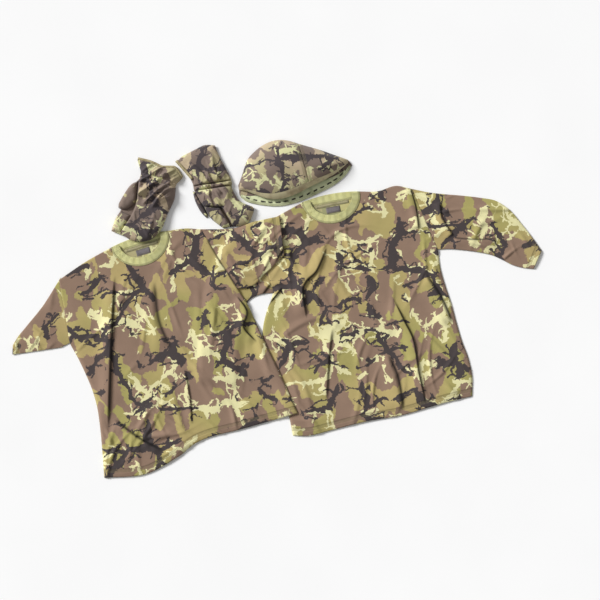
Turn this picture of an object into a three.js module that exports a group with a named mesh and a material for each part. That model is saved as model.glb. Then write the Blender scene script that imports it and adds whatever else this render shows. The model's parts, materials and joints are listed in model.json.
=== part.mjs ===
// A camouflage field clothing set laid out flat: a long-sleeved shirt, a short-sleeved shirt that
// overlaps it, a soft cap and a pair of mittens with a thumb and a trigger finger.
// Units are millimetres, +Z is up. The origin is the middle of the set's footprint, on the floor.
// Every outline is listed in its garment's own frame: +Y towards the neck, the crown or the cuff.
import * as THREE from "three";

// ---- driving dimensions -------------------------------------------------------------------

const GAP = 0.3; // between pieces that touch
const CLOTH = 2.7; // one flat-laid layer of cloth with its creases
const SLACK = 0.5; // how much a shirt's front stands up from its own thickness
const LOFT = 3; // how much higher the middle of a shirt's front lies than its edges
const SLEEVE_LOFT = 0.6; // the same for a sleeve

const NECK = {
  halfWidth: 92, // centre to shoulder point
  drop: 83, // front neck seam below the shoulder points
  backRise: 9, // back neck edge above the shoulder points
  rib: 26, // width of the ribbed collar
  endWidth: 3, // the back rib narrows to this where it turns to the front
  proud: 0.4, // how much the front rib stands over the panel beside it
  tape: 10,
  tapeSpan: 104,
  tapeThickness: 0.8,
};
const LABEL = { width: 44, height: 20, thickness: 0.6, below: 3 };

const LONG_SHIRT = { bodyLength: 710, rightSleeve: 374, leftSleeve: 400 };
const SHORT_SHIRT = { bodyLength: 690, rightSleeve: 209, leftSleeve: 149 };
const CLIMB = { start: -310, run: 375 }; // the short shirt rises by one sleeve over this run

const CAP = {
  loft: 42, // height of the crown's middle over the seam
  mouth: 12, // how far the rim stands open in its middle
  cloth: 2.5,
  facing: 1.6,
  facingWidth: 26,
  hem: 0.09, // share of the crown's depth that the turned hem takes
  seam: 0.62, // where the side seam crosses, along the rim
  ends: 0.02, // share of the rim that the facing leaves free at each end
};
const MITTEN = {
  palm: 3.6,
  rim: 4, // height of a pad's edge
  loft: 15,
  fingerLoft: 11,
  hem: 9,
  hemTaper: 0.98, // the cuff narrows to this share at the hem's seam
  gauntletTaper: 0.97,
  elastic: 14,
  elasticHeight: 6,
  spare: 1.94, // how far the left one's finger end lies over the short shirt's collar
  slack: 0.6,
};

// ---- colours ------------------------------------------------------------------------------

const CAMOUFLAGE = { color: 0x99896e, roughness: 0.92, metalness: 0 };
const RIB = { color: 0xc7c288, roughness: 0.9, metalness: 0 };
const TAPE = { color: 0xc3ba8f, roughness: 0.85, metalness: 0 };
const LABEL_CLOTH = { color: 0x8e8a8c, roughness: 0.7, metalness: 0 };
const LINING = { color: 0xb4b78c, roughness: 0.92, metalness: 0 };
const HEM_CLOTH = { color: 0xb9a38b, roughness: 0.9, metalness: 0 };
const ELASTIC = { color: 0x5d5a4a, roughness: 0.8, metalness: 0 };

// ---- outline helpers ----------------------------------------------------------------------

const mix = (a, b, t) => a + (b - a) * t;
const mixPoint = (p, q, t) => [mix(p[0], q[0], t), mix(p[1], q[1], t)];
const steps = (count, from = 0, to = 1) =>
  Array.from({ length: count + 1 }, (_, i) => mix(from, to, i / count));

// A smooth curve through hand-placed points, read at a share of its length.
function curve(points) {
  const spline = new THREE.SplineCurve(points.map((p) => new THREE.Vector2(...p)));
  return (t) => spline.getPointAt(THREE.MathUtils.clamp(t, 0, 1)).toArray();
}

// Two curves joined end to end, meeting at a share of the whole.
const joined = (first, second, share) => (t) =>
  t < share ? first(t / share) : second((t - share) / (1 - share));

// The same points, drawn out from a fixed middle until the far end lies at the wanted reach.
function reachFrom(middle, points, end, wanted) {
  const drawn = Math.hypot(end[0] - middle[0], end[1] - middle[1]);
  return points.map((p) => mixPoint(middle, p, wanted / drawn));
}

// A four-sided patch of cloth between two edge curves and two end curves (a Coons patch).
// bottom and top run from u = 0 to 1, left and right from the bottom's end to the top's.
function patch({ bottom, top, left, right }) {
  const corner = { bl: bottom(0), br: bottom(1), tl: top(0), tr: top(1) };
  return (u, v) => {
    const across = mixPoint(bottom(u), top(u), v);
    const along = mixPoint(left(v), right(v), u);
    const flat = mixPoint(mixPoint(corner.bl, corner.br, u), mixPoint(corner.tl, corner.tr, u), v);
    return [across[0] + along[0] - flat[0], across[1] + along[1] - flat[1]];
  };
}

// A closed slab of cloth over a patch, with its underside and its top given as heights.
function slab(name, surface, { us, vs, under, over, finish }) {
  const positions = [];
  for (const height of [under, over])
    for (const v of vs)
      for (const u of us) {
        const [x, y] = surface(u, v);
        positions.push(x, y, height(x, y, u, v));
      }
  const row = us.length;
  const layer = row * vs.length;
  const at = (i, j, k) => k * layer + j * row + i;
  const faces = [];
  const quad = (a, b, c, d) => faces.push(a, b, c, a, c, d);
  for (let j = 0; j + 1 < vs.length; j++)
    for (let i = 0; i + 1 < row; i++) {
      quad(at(i, j, 1), at(i + 1, j, 1), at(i + 1, j + 1, 1), at(i, j + 1, 1));
      quad(at(i, j + 1, 0), at(i + 1, j + 1, 0), at(i + 1, j, 0), at(i, j, 0));
    }
  for (let i = 0; i + 1 < row; i++) {
    const last = vs.length - 1;
    quad(at(i, 0, 0), at(i + 1, 0, 0), at(i + 1, 0, 1), at(i, 0, 1));
    quad(at(i + 1, last, 0), at(i, last, 0), at(i, last, 1), at(i + 1, last, 1));
  }
  for (let j = 0; j + 1 < vs.length; j++) {
    const last = row - 1;
    quad(at(0, j + 1, 0), at(0, j, 0), at(0, j, 1), at(0, j + 1, 1));
    quad(at(last, j, 0), at(last, j + 1, 0), at(last, j + 1, 1), at(last, j, 1));
  }
  const origin = surface(0.45, 0.45);
  const ahead = surface(0.55, 0.45);
  const beside = surface(0.45, 0.55);
  const turn =
    (ahead[0] - origin[0]) * (beside[1] - origin[1]) -
    (ahead[1] - origin[1]) * (beside[0] - origin[0]);
  if (turn < 0)
    for (let f = 0; f < faces.length; f += 3)
      [faces[f + 1], faces[f + 2]] = [faces[f + 2], faces[f + 1]];
  const geometry = new THREE.BufferGeometry();
  geometry.setAttribute("position", new THREE.Float32BufferAttribute(positions, 3));
  geometry.setIndex(faces);
  geometry.computeVertexNormals();
  const mesh = new THREE.Mesh(geometry, new THREE.MeshStandardMaterial(finish));
  mesh.name = name;
  return mesh;
}

// The short shirt's rise over the long one, at a place across it.
const SLEEVE_HEIGHT = 2 * CLOTH + SLEEVE_LOFT;
const climb = (x) => Math.max(0, (SLEEVE_HEIGHT / CLIMB.run) * (x - CLIMB.start));

// One cloth piece whose heights are counted from the shirt's own lie.
function layerOf(name, surface, us, vs, lie, from, to, finish) {
  return slab(name, surface, {
    us,
    vs,
    under: (x, y) => lie(x, y) + from,
    over: (x, y, u, v) => lie(x, y) + (typeof to === "number" ? to : to(u, v)),
    finish,
  });
}

// ---- shirts -------------------------------------------------------------------------------

const FRONT_FLOOR = CLOTH + GAP; // where the front lies, over the back
const FRONT_TOP = FRONT_FLOOR + CLOTH + SLACK;
const FRONT_NECK_STEPS = 12;
const BACK_NECK_STEPS = 8;
const SIDE_ROWS = 8;
const ARMHOLE_ROWS = 4;
const ARMPIT_SHARE = 0.68; // of a body panel's rows, from the hem up to the armpit

// Half-ellipse of the front neckline, from the left shoulder point to the right one.
const frontNeck = (inset, drop) => (t) => {
  const angle = Math.PI * t;
  return [-(NECK.halfWidth - inset) * Math.cos(angle), -drop * Math.sin(angle)];
};

// Free edge of the back rib, and its seam to the back panel.
const backEdge = (x) => NECK.backRise * (1 - (x / NECK.halfWidth) ** 2);
const backSeam = (x) =>
  backEdge(x) - NECK.endWidth - (NECK.rib - NECK.endWidth) * (1 - (x / NECK.halfWidth) ** 4);

// A shirt's body panel. Its top edge runs shoulder, neck, shoulder, and the other edges are read
// at the same shares of its width, so that the neck keeps its shape.
function bodyPanel(name, cut, neckPoints, lie, from, to) {
  const topPoints = [...cut.leftShoulder, ...neckPoints, ...cut.rightShoulder];
  const [first, last] = [topPoints[0], topPoints.at(-1)];
  const us = topPoints.map((p) => (p[0] - first[0]) / (last[0] - first[0]));
  const topEdge = (u) => {
    const i = Math.max(1, us.findIndex((share) => share >= u - 1e-9));
    return mixPoint(topPoints[i - 1], topPoints[i], (u - us[i - 1]) / (us[i] - us[i - 1]));
  };
  const surface = patch({
    bottom: curve(cut.hem),
    top: topEdge,
    left: joined(curve(cut.leftSide), curve(cut.leftArmhole), ARMPIT_SHARE),
    right: joined(curve(cut.rightSide), curve(cut.rightArmhole), ARMPIT_SHARE),
  });
  const vs = [
    ...steps(SIDE_ROWS, 0, ARMPIT_SHARE),
    ...steps(ARMHOLE_ROWS, ARMPIT_SHARE, 1).slice(1),
  ];
  return layerOf(name, surface, us, vs, lie, from, to, CAMOUFLAGE);
}

// The ribbed collar, the tape over its back seam and the blank label below the tape.
function collar(prefix, lie) {
  const piece = (name, band, us, from, to, finish) =>
    layerOf(prefix + name, band, us, [0, 1], lie, from, to, finish);
  const seamEdge = frontNeck(2 * GAP, NECK.drop - 2 * GAP);
  const freeEdge = frontNeck(NECK.rib, NECK.drop - NECK.rib);
  const frontBand = (u, v) => mixPoint(seamEdge(u), freeEdge(u), v);
  const backBand = (u, v) => {
    const x = mix(-NECK.halfWidth, NECK.halfWidth, u);
    return [x, mix(backSeam(x) + GAP, backEdge(x), v)];
  };
  const tapeBand = (u, v) => {
    const x = mix(-NECK.tapeSpan / 2, NECK.tapeSpan / 2, u);
    return [x, backSeam(x) + mix(-NECK.tape, 0, v)];
  };
  const labelTop = backSeam(0) - NECK.tape - LABEL.below;
  const labelPatch = (u, v) => [
    mix(-LABEL.width / 2, LABEL.width / 2, u),
    mix(labelTop - LABEL.height, labelTop, v),
  ];
  const frontSteps = steps(FRONT_NECK_STEPS);
  const backSteps = steps(BACK_NECK_STEPS);
  const tapeTop = FRONT_FLOOR + NECK.tapeThickness;
  const labelFace = FRONT_FLOOR + LABEL.thickness;
  return [
    piece("collar_front", frontBand, frontSteps, FRONT_FLOOR, FRONT_TOP + NECK.proud, RIB),
    piece("collar_back", backBand, backSteps, 0, CLOTH, RIB),
    piece("neck_tape", tapeBand, backSteps, FRONT_FLOOR, tapeTop, TAPE),
    piece("neck_label", labelPatch, [0, 1], FRONT_FLOOR, labelFace, LABEL_CLOTH),
  ];
}

// A sleeve laid flat, from the armhole line out to its cuff.
function sleeve(name, { shoulder, armpit, upper, lower, reach }, lie) {
  const middle = mixPoint(shoulder, armpit, 0.5);
  const cuffMiddle = mixPoint(upper.at(-1), lower.at(-1), 0.5);
  const drawnUpper = reachFrom(middle, upper, cuffMiddle, reach);
  const drawnLower = reachFrom(middle, lower, cuffMiddle, reach);
  const surface = patch({
    bottom: curve([armpit, ...drawnLower]),
    top: curve([shoulder, ...drawnUpper]),
    left: curve([armpit, shoulder]),
    right: curve([drawnLower.at(-1), drawnUpper.at(-1)]),
  });
  const full = (u, v) => 2 * CLOTH + SLEEVE_LOFT * Math.sin(Math.PI * v);
  return layerOf(name, surface, steps(9), steps(5), lie, 0, full, CAMOUFLAGE);
}

// A body's side from the hem's corner up to the armpit. The points between give the sideways
// place at a share of the way down from the armpit to the hem.
const sideStops = (hemCorner, bulges, { armpit }) => [
  hemCorner,
  ...bulges.map(([x, share]) => [x, mix(armpit[1], hemCorner[1], share)]),
  armpit,
];

// The straight armhole lines, from each armpit up to its shoulder.
const armholes = (left, right) => ({
  leftArmhole: [left.armpit, left.shoulder],
  rightArmhole: [right.armpit, right.shoulder],
});

// An armhole line moved sideways, for the sleeve that starts beside it.
const outward = ({ shoulder, armpit }, gap) => ({
  shoulder: [shoulder[0] + gap, shoulder[1]],
  armpit: [armpit[0] + gap, armpit[1]],
});

function shirt(prefix, cut, sleeves, lie) {
  const frontPoints = steps(FRONT_NECK_STEPS).map(frontNeck(0, NECK.drop));
  const backPoints = steps(BACK_NECK_STEPS, -NECK.halfWidth, NECK.halfWidth).map((x) => [
    x,
    backSeam(x),
  ]);
  const puffed = (u, v) => FRONT_TOP + LOFT * Math.sin(Math.PI * u) * Math.sin(Math.PI * v);
  return [
    bodyPanel(prefix + "back_panel", cut, backPoints, lie, 0, CLOTH),
    bodyPanel(prefix + "front_panel", cut, frontPoints, lie, FRONT_FLOOR, puffed),
    ...collar(prefix, lie),
    ...sleeves,
  ];
}

function longShirt() {
  const flat = () => 0;
  const hem = -LONG_SHIRT.bodyLength;
  const right = { shoulder: [256, -24], armpit: [296, -226] };
  const left = { shoulder: [-250, -37], armpit: [-236, -262] };
  const rightHem = [309, hem + 14];
  const leftHem = [-259, hem + 1];
  const cut = {
    leftShoulder: [left.shoulder, [-204, -36], [-143, -17]],
    rightShoulder: [[148, -10], [206, -4], right.shoulder],
    hem: [leftHem, [-210, hem - 9], [-33, hem], [84, hem - 2], [217, hem + 10], rightHem],
    leftSide: sideStops(leftHem, [[-263, 0.68], [-296, 0.38], [-282, 0.2]], left),
    rightSide: sideStops(rightHem, [[324, 0.82], [311, 0.6], [303, 0.35], [293, 0.17]], right),
    ...armholes(left, right),
  };
  const rightSleeve = sleeve("long_shirt_right_sleeve", {
    ...outward(right, GAP),
    upper: [[320, -50], [425, -81], [519, -120], [574, -205], [614, -293]],
    lower: [[352, -236], [453, -272], [524, -323], [579, -343]],
    reach: LONG_SHIRT.rightSleeve,
  }, flat);
  const leftSleeve = sleeve("long_shirt_left_sleeve", {
    ...outward(left, -GAP),
    upper: [[-366, -100], [-448, -244], [-498, -380], [-535, -529]],
    lower: [[-313, -284], [-371, -354], [-410, -450], [-437, -563]],
    reach: LONG_SHIRT.leftSleeve,
  }, flat);
  return shirt("long_shirt_", cut, [rightSleeve, leftSleeve], flat);
}

function shortShirt() {
  const hem = -SHORT_SHIRT.bodyLength;
  const right = { shoulder: [194, -25], armpit: [249, -236] };
  const left = { shoulder: [-276, -52], armpit: [-296, -251] };
  const rightHem = [321, hem + 29];
  const leftHem = [-306, hem + 8];
  const cut = {
    leftShoulder: [left.shoulder, [-182, -21]],
    rightShoulder: [[147, -8], right.shoulder],
    hem: [leftHem, [-175, hem - 18], [-122, hem - 19], [3, hem + 32], [150, hem + 31], rightHem],
    leftSide: sideStops(leftHem, [[-277, 0.65], [-268, 0.43], [-278, 0.21]], left),
    rightSide: sideStops(rightHem, [[310, 0.81], [298, 0.61], [284, 0.42], [266, 0.12]], right),
    ...armholes(left, right),
  };
  const rightSleeve = sleeve("short_shirt_right_sleeve", {
    ...outward(right, GAP),
    upper: [[288, -50], [356, -50], [440, -56]],
    lower: [[296, -241], [354, -212], [420, -176]],
    reach: SHORT_SHIRT.rightSleeve,
  }, climb);
  const leftSleeve = sleeve("short_shirt_left_sleeve", {
    ...outward(left, -GAP),
    upper: [[-343, -113], [-404, -157], [-463, -201], [-477, -236]],
    lower: [[-311, -254], [-326, -257]],
    reach: SHORT_SHIRT.leftSleeve,
  }, climb);
  return shirt("short_shirt_", cut, [rightSleeve, leftSleeve], climb);
}

// ---- cap ----------------------------------------------------------------------------------

function cap() {
  const crown = [[-181, 6], [-162, 36], [-133, 83], [-91, 110], [-59, 121], [-22, 121], [3, 113],
    [41, 92], [93, 64], [142, 34], [174, 14]];
  const rim = [[-181, -9], [-150, -24], [-109, -51], [-67, -65], [-19, -63], [46, -46],
    [115, -26], [172, 4]];
  const lowerRim = [[-183, -26], [-173, -44], [-135, -65], [-76, -84], [-29, -86], [20, -80],
    [109, -57], [157, -32], [184, -4]];
  const rimLength = 360; // along the rim, for turning a gap into a share of the patch
  const depth = 120; // the same from the rim to the crown
  const half = (edge) =>
    patch({
      bottom: curve(edge),
      top: curve(crown),
      left: curve([edge[0], crown[0]]),
      right: curve([edge.at(-1), crown.at(-1)]),
    });
  const [upper, lower] = [half(rim), half(lowerRim)];
  const seat = (v) => CAP.cloth + GAP + (CAP.facing + GAP) * (1 - v);
  const inner = (u, v) => {
    const arch = Math.sin(Math.PI * u);
    const dome = Math.sqrt(arch) * (4 * v * (1 - v)) ** 0.6;
    return seat(v) + CAP.mouth * arch * (1 - v) + CAP.loft * dome;
  };
  const shell = (name, us, vs, finish) =>
    slab(name, upper, {
      us,
      vs,
      under: (x, y, u, v) => inner(u, v),
      over: (x, y, u, v) => inner(u, v) + CAP.cloth,
      finish,
    });
  const sheet = (name, us, vs, floor, thickness, finish) =>
    slab(name, lower, { us, vs, under: () => floor, over: () => floor + thickness, finish });
  const sideGap = GAP / rimLength;
  const beforeSeam = steps(9, 0, CAP.seam - sideGap);
  const afterSeam = steps(6, CAP.seam + sideGap, 1);
  const allRound = steps(14, CAP.ends, 1 - CAP.ends);
  const crownShares = steps(9, CAP.hem + (2 * GAP) / depth, 1);
  const facingShares = [0, CAP.facingWidth / depth];
  const facingFloor = CAP.cloth + GAP;
  return [
    shell("cap_upper_front_panel", beforeSeam, crownShares, CAMOUFLAGE),
    shell("cap_upper_back_panel", afterSeam, crownShares, CAMOUFLAGE),
    shell("cap_upper_hem", steps(14), [0, CAP.hem], HEM_CLOTH),
    sheet("cap_lower_front_panel", beforeSeam, steps(5), 0, CAP.cloth, CAMOUFLAGE),
    sheet("cap_lower_back_panel", afterSeam, steps(5), 0, CAP.cloth, CAMOUFLAGE),
    sheet("cap_rim_facing", allRound, facingShares, facingFloor, CAP.facing, LINING),
  ];
}

// ---- mittens ------------------------------------------------------------------------------

const MITTEN_FLOOR = MITTEN.palm + GAP;
const onFloor = () => 0;

// The left mitten's finger end climbs on to the back of the short shirt's collar.
const PERCH = climb(0) + CLOTH + MITTEN.spare;
const onCollar = (x, y) => PERCH * THREE.MathUtils.smoothstep(-y, 0, 75);

// Its pads part from the palm a little, so that the two clear each other along the climb.
const overCollar = (x, y) =>
  onCollar(x, y) + MITTEN.slack * THREE.MathUtils.smoothstep(-y, -25, 5);

// A padded upper piece of a mitten: full in its middle, low along its edges.
function pad(name, edges, us, vs, { lie = onFloor, loft = MITTEN.loft, finish = CAMOUFLAGE } = {}) {
  const full = (u, v) => Math.sqrt(Math.sin(Math.PI * u) * Math.sin(Math.PI * v));
  const over = (u, v) => MITTEN_FLOOR + MITTEN.rim + loft * full(u, v);
  return layerOf(name, patch(edges), us, vs, lie, MITTEN_FLOOR, over, finish);
}

// The cloth of a mitten that lies lowest, under its pads.
const palm = (name, edges, lie = onFloor) =>
  layerOf(name, patch(edges), steps(8), steps(12), lie, 0, MITTEN.palm, CAMOUFLAGE);

// A band of the wrist's elastic, or of a cuff's hem, that runs across a mitten.
function strip(name, [from, to], width, height, finish) {
  const length = Math.hypot(to[0] - from[0], to[1] - from[1]);
  const side = [(-width * (to[1] - from[1])) / length, (width * (to[0] - from[0])) / length];
  const surface = (u, v) => {
    const [x, y] = mixPoint(from, to, u);
    return [x + side[0] * v, y + side[1] * v];
  };
  return slab(name, surface, {
    us: steps(6),
    vs: [0, 1],
    under: () => MITTEN_FLOOR,
    over: () => MITTEN_FLOOR + height,
    finish,
  });
}

function leftMitten() {
  const wrist = 74;
  const cuff = [[-77, 131], [-32, 134], [6, 130], [44, 140], [77, 117]];
  const taperedCuff = (share, below) => cuff.map(([x, y]) => [x * share, y - below]);
  const hemSeam = taperedCuff(MITTEN.hemTaper, MITTEN.hem);
  const belowHem = taperedCuff(MITTEN.gauntletTaper, MITTEN.hem + GAP);
  const aboveWrist = wrist + MITTEN.elastic + GAP;
  return [
    palm("left_mitten_palm", {
      bottom: curve([[-81, -118], [-37, -121], [-12, -126], [23, -120], [46, -105]]),
      top: curve(cuff),
      left: curve([[-81, -118], [-82, -79], [-75, -50], [-78, 7], [-66, 44], [-52, 62],
        [-52, 84], cuff[0]]),
      right: curve([[46, -105], [66, -67], [69, -8], [74, 35], [68, 69], [64, 84],
        cuff.at(-1)]),
    }, onCollar),
    pad("left_mitten_back", {
      bottom: curve([[-48, -111], [-37, -119], [-12, -125], [23, -119], [45, -105]]),
      top: curve([[-50, wrist - GAP], [66, wrist - GAP]]),
      left: curve([[-48, -111], [-34, -54], [-33, -5], [-47, 55], [-50, wrist - GAP]]),
      right: curve([[45, -105], [65, -67], [68, -8], [73, 35], [66, wrist - GAP]]),
    }, steps(8), steps(12), { lie: overCollar }),
    strip("left_mitten_wrist_tunnel", [[-51, wrist], [65, wrist]], MITTEN.elastic,
      MITTEN.elasticHeight, ELASTIC),
    pad("left_mitten_gauntlet", {
      bottom: curve([[-51, aboveWrist], [64, aboveWrist]]),
      top: curve(belowHem),
      left: curve([[-51, aboveWrist], belowHem[0]]),
      right: curve([[64, aboveWrist], belowHem.at(-1)]),
    }, steps(8), steps(4), { loft: MITTEN.loft / 2 }),
    pad("left_mitten_cuff_hem", {
      bottom: curve(hemSeam),
      top: curve(cuff),
      left: curve([hemSeam[0], cuff[0]]),
      right: curve([hemSeam.at(-1), cuff.at(-1)]),
    }, steps(8), [0, 1], { finish: HEM_CLOTH }),
    pad("left_mitten_trigger_finger", {
      bottom: curve([[-80, -117], [-51, -113]]),
      top: curve([[-74, -49], [-37, -53]]),
      left: curve([[-80, -117], [-81, -79], [-74, -49]]),
      right: curve([[-51, -113], [-37, -53]]),
    }, steps(4), steps(6), { lie: overCollar, loft: MITTEN.fingerLoft }),
    pad("left_mitten_thumb", {
      bottom: curve([[-37, -4], [-52, -35], [-71, -43]]),
      top: curve([[-52, 58], [-70, 42], [-81, 7], [-87, -28]]),
      left: curve([[-37, -4], [-52, 58]]),
      right: curve([[-71, -43], [-83, -42], [-87, -28]]),
    }, steps(6), steps(4), { lie: overCollar, loft: MITTEN.fingerLoft }),
  ];
}

function rightMitten() {
  const cuff = [[-59, 129], [-44, 54]];
  const outer = [[-48, 126], [-36, 131], [13, 130], [48, 127], [74, 111]];
  const wrist = [[-52, 18], [60, -24]];
  const overWrist = [[-47, 34], [65, -8]];
  return [
    palm("right_mitten_palm", {
      bottom: curve([[-32, -131], [-8, -139], [16, -150], [47, -154], [77, -131]]),
      top: curve([[-57, 128], ...outer.slice(1)]),
      left: curve([[-32, -131], [-46, -98], [-52, -74], [-52, -16], [-52, 25], [-44, 54],
        [-57, 128]]),
      right: curve([[77, -131], [80, -118], [54, -80], [54, -32], [66, -7], [68, 30],
        [70, 77], outer.at(-1)]),
    }),
    pad("right_mitten_back", {
      bottom: curve([[-1, -137], [16, -150], [47, -153], [76, -131]]),
      top: curve([[-51, 15], [53, -29]]),
      left: curve([[-1, -137], [-1, -100], [-3, -68], [-30, -50], [-50, -34], [-51, 15]]),
      right: curve([[76, -131], [79, -118], [53, -80], [53, -29]]),
    }, steps(8), steps(10)),
    strip("right_mitten_wrist_tunnel", wrist, MITTEN.elastic - 2, MITTEN.elasticHeight,
      ELASTIC),
    pad("right_mitten_gauntlet", {
      bottom: curve(overWrist),
      top: curve(outer),
      left: curve([overWrist[0], [-36, 46], [-34, 60], outer[0]]),
      right: curve([overWrist[1], [67, 30], [69, 77], outer.at(-1)]),
    }, steps(8), steps(8)),
    strip("right_mitten_cuff_hem", cuff, MITTEN.hem, MITTEN.rim, HEM_CLOTH),
    pad("right_mitten_trigger_finger", {
      bottom: curve([[-33, -130], [-6, -138]]),
      top: curve([[-51, -39], [-30, -55], [-8, -70]]),
      left: curve([[-33, -130], [-46, -98], [-52, -74], [-51, -39]]),
      right: curve([[-6, -138], [-8, -70]]),
    }, steps(4), steps(6), { loft: MITTEN.fingerLoft }),
    slab("right_mitten_thumb", patch({
      bottom: curve([[-52.8, 14], [-52.8, -70]]),
      top: curve([[-57, 20], [-66, -10], [-68, -50], [-61, -78]]),
      left: curve([[-52.8, 14], [-57, 20]]),
      right: curve([[-52.8, -70], [-61, -78]]),
    }), {
      us: steps(6),
      vs: steps(2),
      under: () => 0,
      over: (x, y, u) => MITTEN.rim + MITTEN.rim * Math.sin(Math.PI * u),
      finish: CAMOUFLAGE,
    }),
  ];
}

// ---- the set, laid out --------------------------------------------------------------------

// Where each garment's own origin lies, and how far it is turned anticlockwise.
const LAYOUT = [
  { pieces: longShirt(), at: [167, 334], turned: 11 },
  { pieces: shortShirt(), at: [-432, 200], turned: 16.5 },
  { pieces: cap(), at: [54, 403], turned: 12 },
  { pieces: leftMitten(), at: [-407, 313], turned: -18 },
  { pieces: rightMitten(), at: [-207.5, 364.5], turned: 30 },
];

const set = new THREE.Group();
for (const { pieces, at, turned } of LAYOUT) {
  const garment = new THREE.Group();
  garment.add(...pieces);
  garment.position.set(at[0], at[1], 0);
  garment.rotation.z = THREE.MathUtils.degToRad(turned);
  set.add(garment);
}

// The origin goes to the middle of the footprint.
const footprint = new THREE.Box3().setFromObject(set, true).getCenter(new THREE.Vector3());
set.position.set(-footprint.x, -footprint.y, 0);

export default set;
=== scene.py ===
"""A camouflage field clothing set laid out flat: two shirts, a soft cap and a pair of mittens.

The frame says where every layer lies and how it moves. This script lays cloth over it: outlines come
from the frame's nodes, and folds, hems, ribs, gathers, seams and print are made here. Metres, +Z up.
"""

import json
import logging
import math
from collections.abc import Callable
from dataclasses import dataclass, field, replace
from enum import Enum

import bpy
import numpy as np
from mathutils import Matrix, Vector
from mathutils.geometry import delaunay_2d_cdt

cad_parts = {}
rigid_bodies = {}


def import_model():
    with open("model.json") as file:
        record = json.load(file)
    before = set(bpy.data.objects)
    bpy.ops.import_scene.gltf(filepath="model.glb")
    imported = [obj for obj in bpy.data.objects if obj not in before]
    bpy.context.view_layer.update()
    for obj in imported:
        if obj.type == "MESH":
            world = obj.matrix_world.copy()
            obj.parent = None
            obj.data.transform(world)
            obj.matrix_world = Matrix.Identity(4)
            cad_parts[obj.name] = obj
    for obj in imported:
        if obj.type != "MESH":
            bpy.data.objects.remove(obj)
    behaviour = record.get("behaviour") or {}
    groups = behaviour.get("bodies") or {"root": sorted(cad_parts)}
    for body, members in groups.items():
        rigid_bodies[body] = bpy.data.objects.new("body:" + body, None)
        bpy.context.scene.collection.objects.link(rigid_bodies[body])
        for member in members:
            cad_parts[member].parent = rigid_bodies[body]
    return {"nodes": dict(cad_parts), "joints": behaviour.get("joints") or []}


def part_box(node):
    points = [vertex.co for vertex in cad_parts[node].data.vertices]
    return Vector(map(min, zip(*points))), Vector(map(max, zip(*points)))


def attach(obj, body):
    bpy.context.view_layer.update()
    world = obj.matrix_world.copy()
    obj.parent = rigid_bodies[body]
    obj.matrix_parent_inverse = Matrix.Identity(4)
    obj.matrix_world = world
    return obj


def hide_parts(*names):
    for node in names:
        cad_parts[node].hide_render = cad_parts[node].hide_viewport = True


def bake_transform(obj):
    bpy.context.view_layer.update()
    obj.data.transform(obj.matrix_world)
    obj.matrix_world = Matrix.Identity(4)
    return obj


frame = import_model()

Array = np.ndarray
Socket = bpy.types.NodeSocket
Colour = tuple[float, float, float, float]
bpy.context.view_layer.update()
MM = 0.001
log = logging.getLogger("clothing_set")


class Slot(Enum):
    """The record's material slots."""

    CAMOUFLAGE = "camouflage"
    RIB = "rib"
    TAPE = "tape"
    LABEL = "label"
    LINING = "lining"
    HEM = "hem_cloth"
    ELASTIC = "elastic"


class Hold(Enum):
    """How a sheet of cloth is held."""

    LAID = "laid"
    FOLDED = "folded"


# ---- lines and outlines --------------------------------------------------------------------

OUTLINE_STEP = 3 * MM
BATCH = 3_000_000  # pairs of points and stretches measured at once
SPLINE_STEPS = 12  # points for each stretch of an outline's side


def smoothstep(low: float, high: float, value: Array) -> Array:
    """Rises from 0 at low to 1 at high as 3t^2 - 2t^3."""
    t = np.clip((value - low) / (high - low), 0, 1)
    return t * t * (3 - 2 * t)


def spline(points: Array, count: int) -> Array:
    """A smooth line through points (Catmull-Rom).

    Each stretch is the cubic that meets its two points with half the chord of their neighbours as slope.

    Args:
        points: (n, d) places to pass through.
        count: how many points to return.

    Returns:
        (count, d) points, evenly spread over the stretches.
    """
    points = np.asarray(points, float)
    p = np.vstack([2 * points[0] - points[1], points, 2 * points[-1] - points[-2]])
    t = np.linspace(0, len(points) - 1, count)
    i = np.minimum(t.astype(int), len(points) - 2)
    f = (t - i)[:, None]
    a, b, c, d = p[i], p[i + 1], p[i + 2], p[i + 3]
    return b + 0.5 * f * ((c - a) + f * ((2 * a - 5 * b + 4 * c - d) + f * (3 * (b - c) + d - a)))


def run_lengths(line: Array) -> Array:
    """Length along a line up to each of its points."""
    return np.concatenate([[0.0], np.cumsum(np.linalg.norm(np.diff(line, axis=0), axis=1))])


def at_share(line: Array, share: Array) -> Array:
    """Points of a line at shares of its length; shares below 0 or above 1 run straight on.

    Args:
        line: (n, d) line.
        share: shares of its length, in an array of any shape.

    Returns:
        The points, with a last axis of d.
    """
    share = np.asarray(share, float)
    run = run_lengths(line)
    want = np.clip(share, 0, 1) * run[-1]
    found = np.stack([np.interp(want, run, line[:, k]) for k in range(line.shape[1])], -1)
    before = np.minimum(share, 0)[..., None] * run[-1]
    after = np.maximum(share - 1, 0)[..., None] * run[-1]
    first = (line[1] - line[0]) / max(run[1], 1e-9)
    last = (line[-1] - line[-2]) / max(run[-1] - run[-2], 1e-9)
    return found + before * first + after * last


def resampled(line: Array, spacing: float) -> Array:
    """The same line with points about spacing apart, both ends kept."""
    count = max(2, int(round(run_lengths(line)[-1] / spacing)) + 1)
    return at_share(line, np.linspace(0, 1, count))


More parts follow.
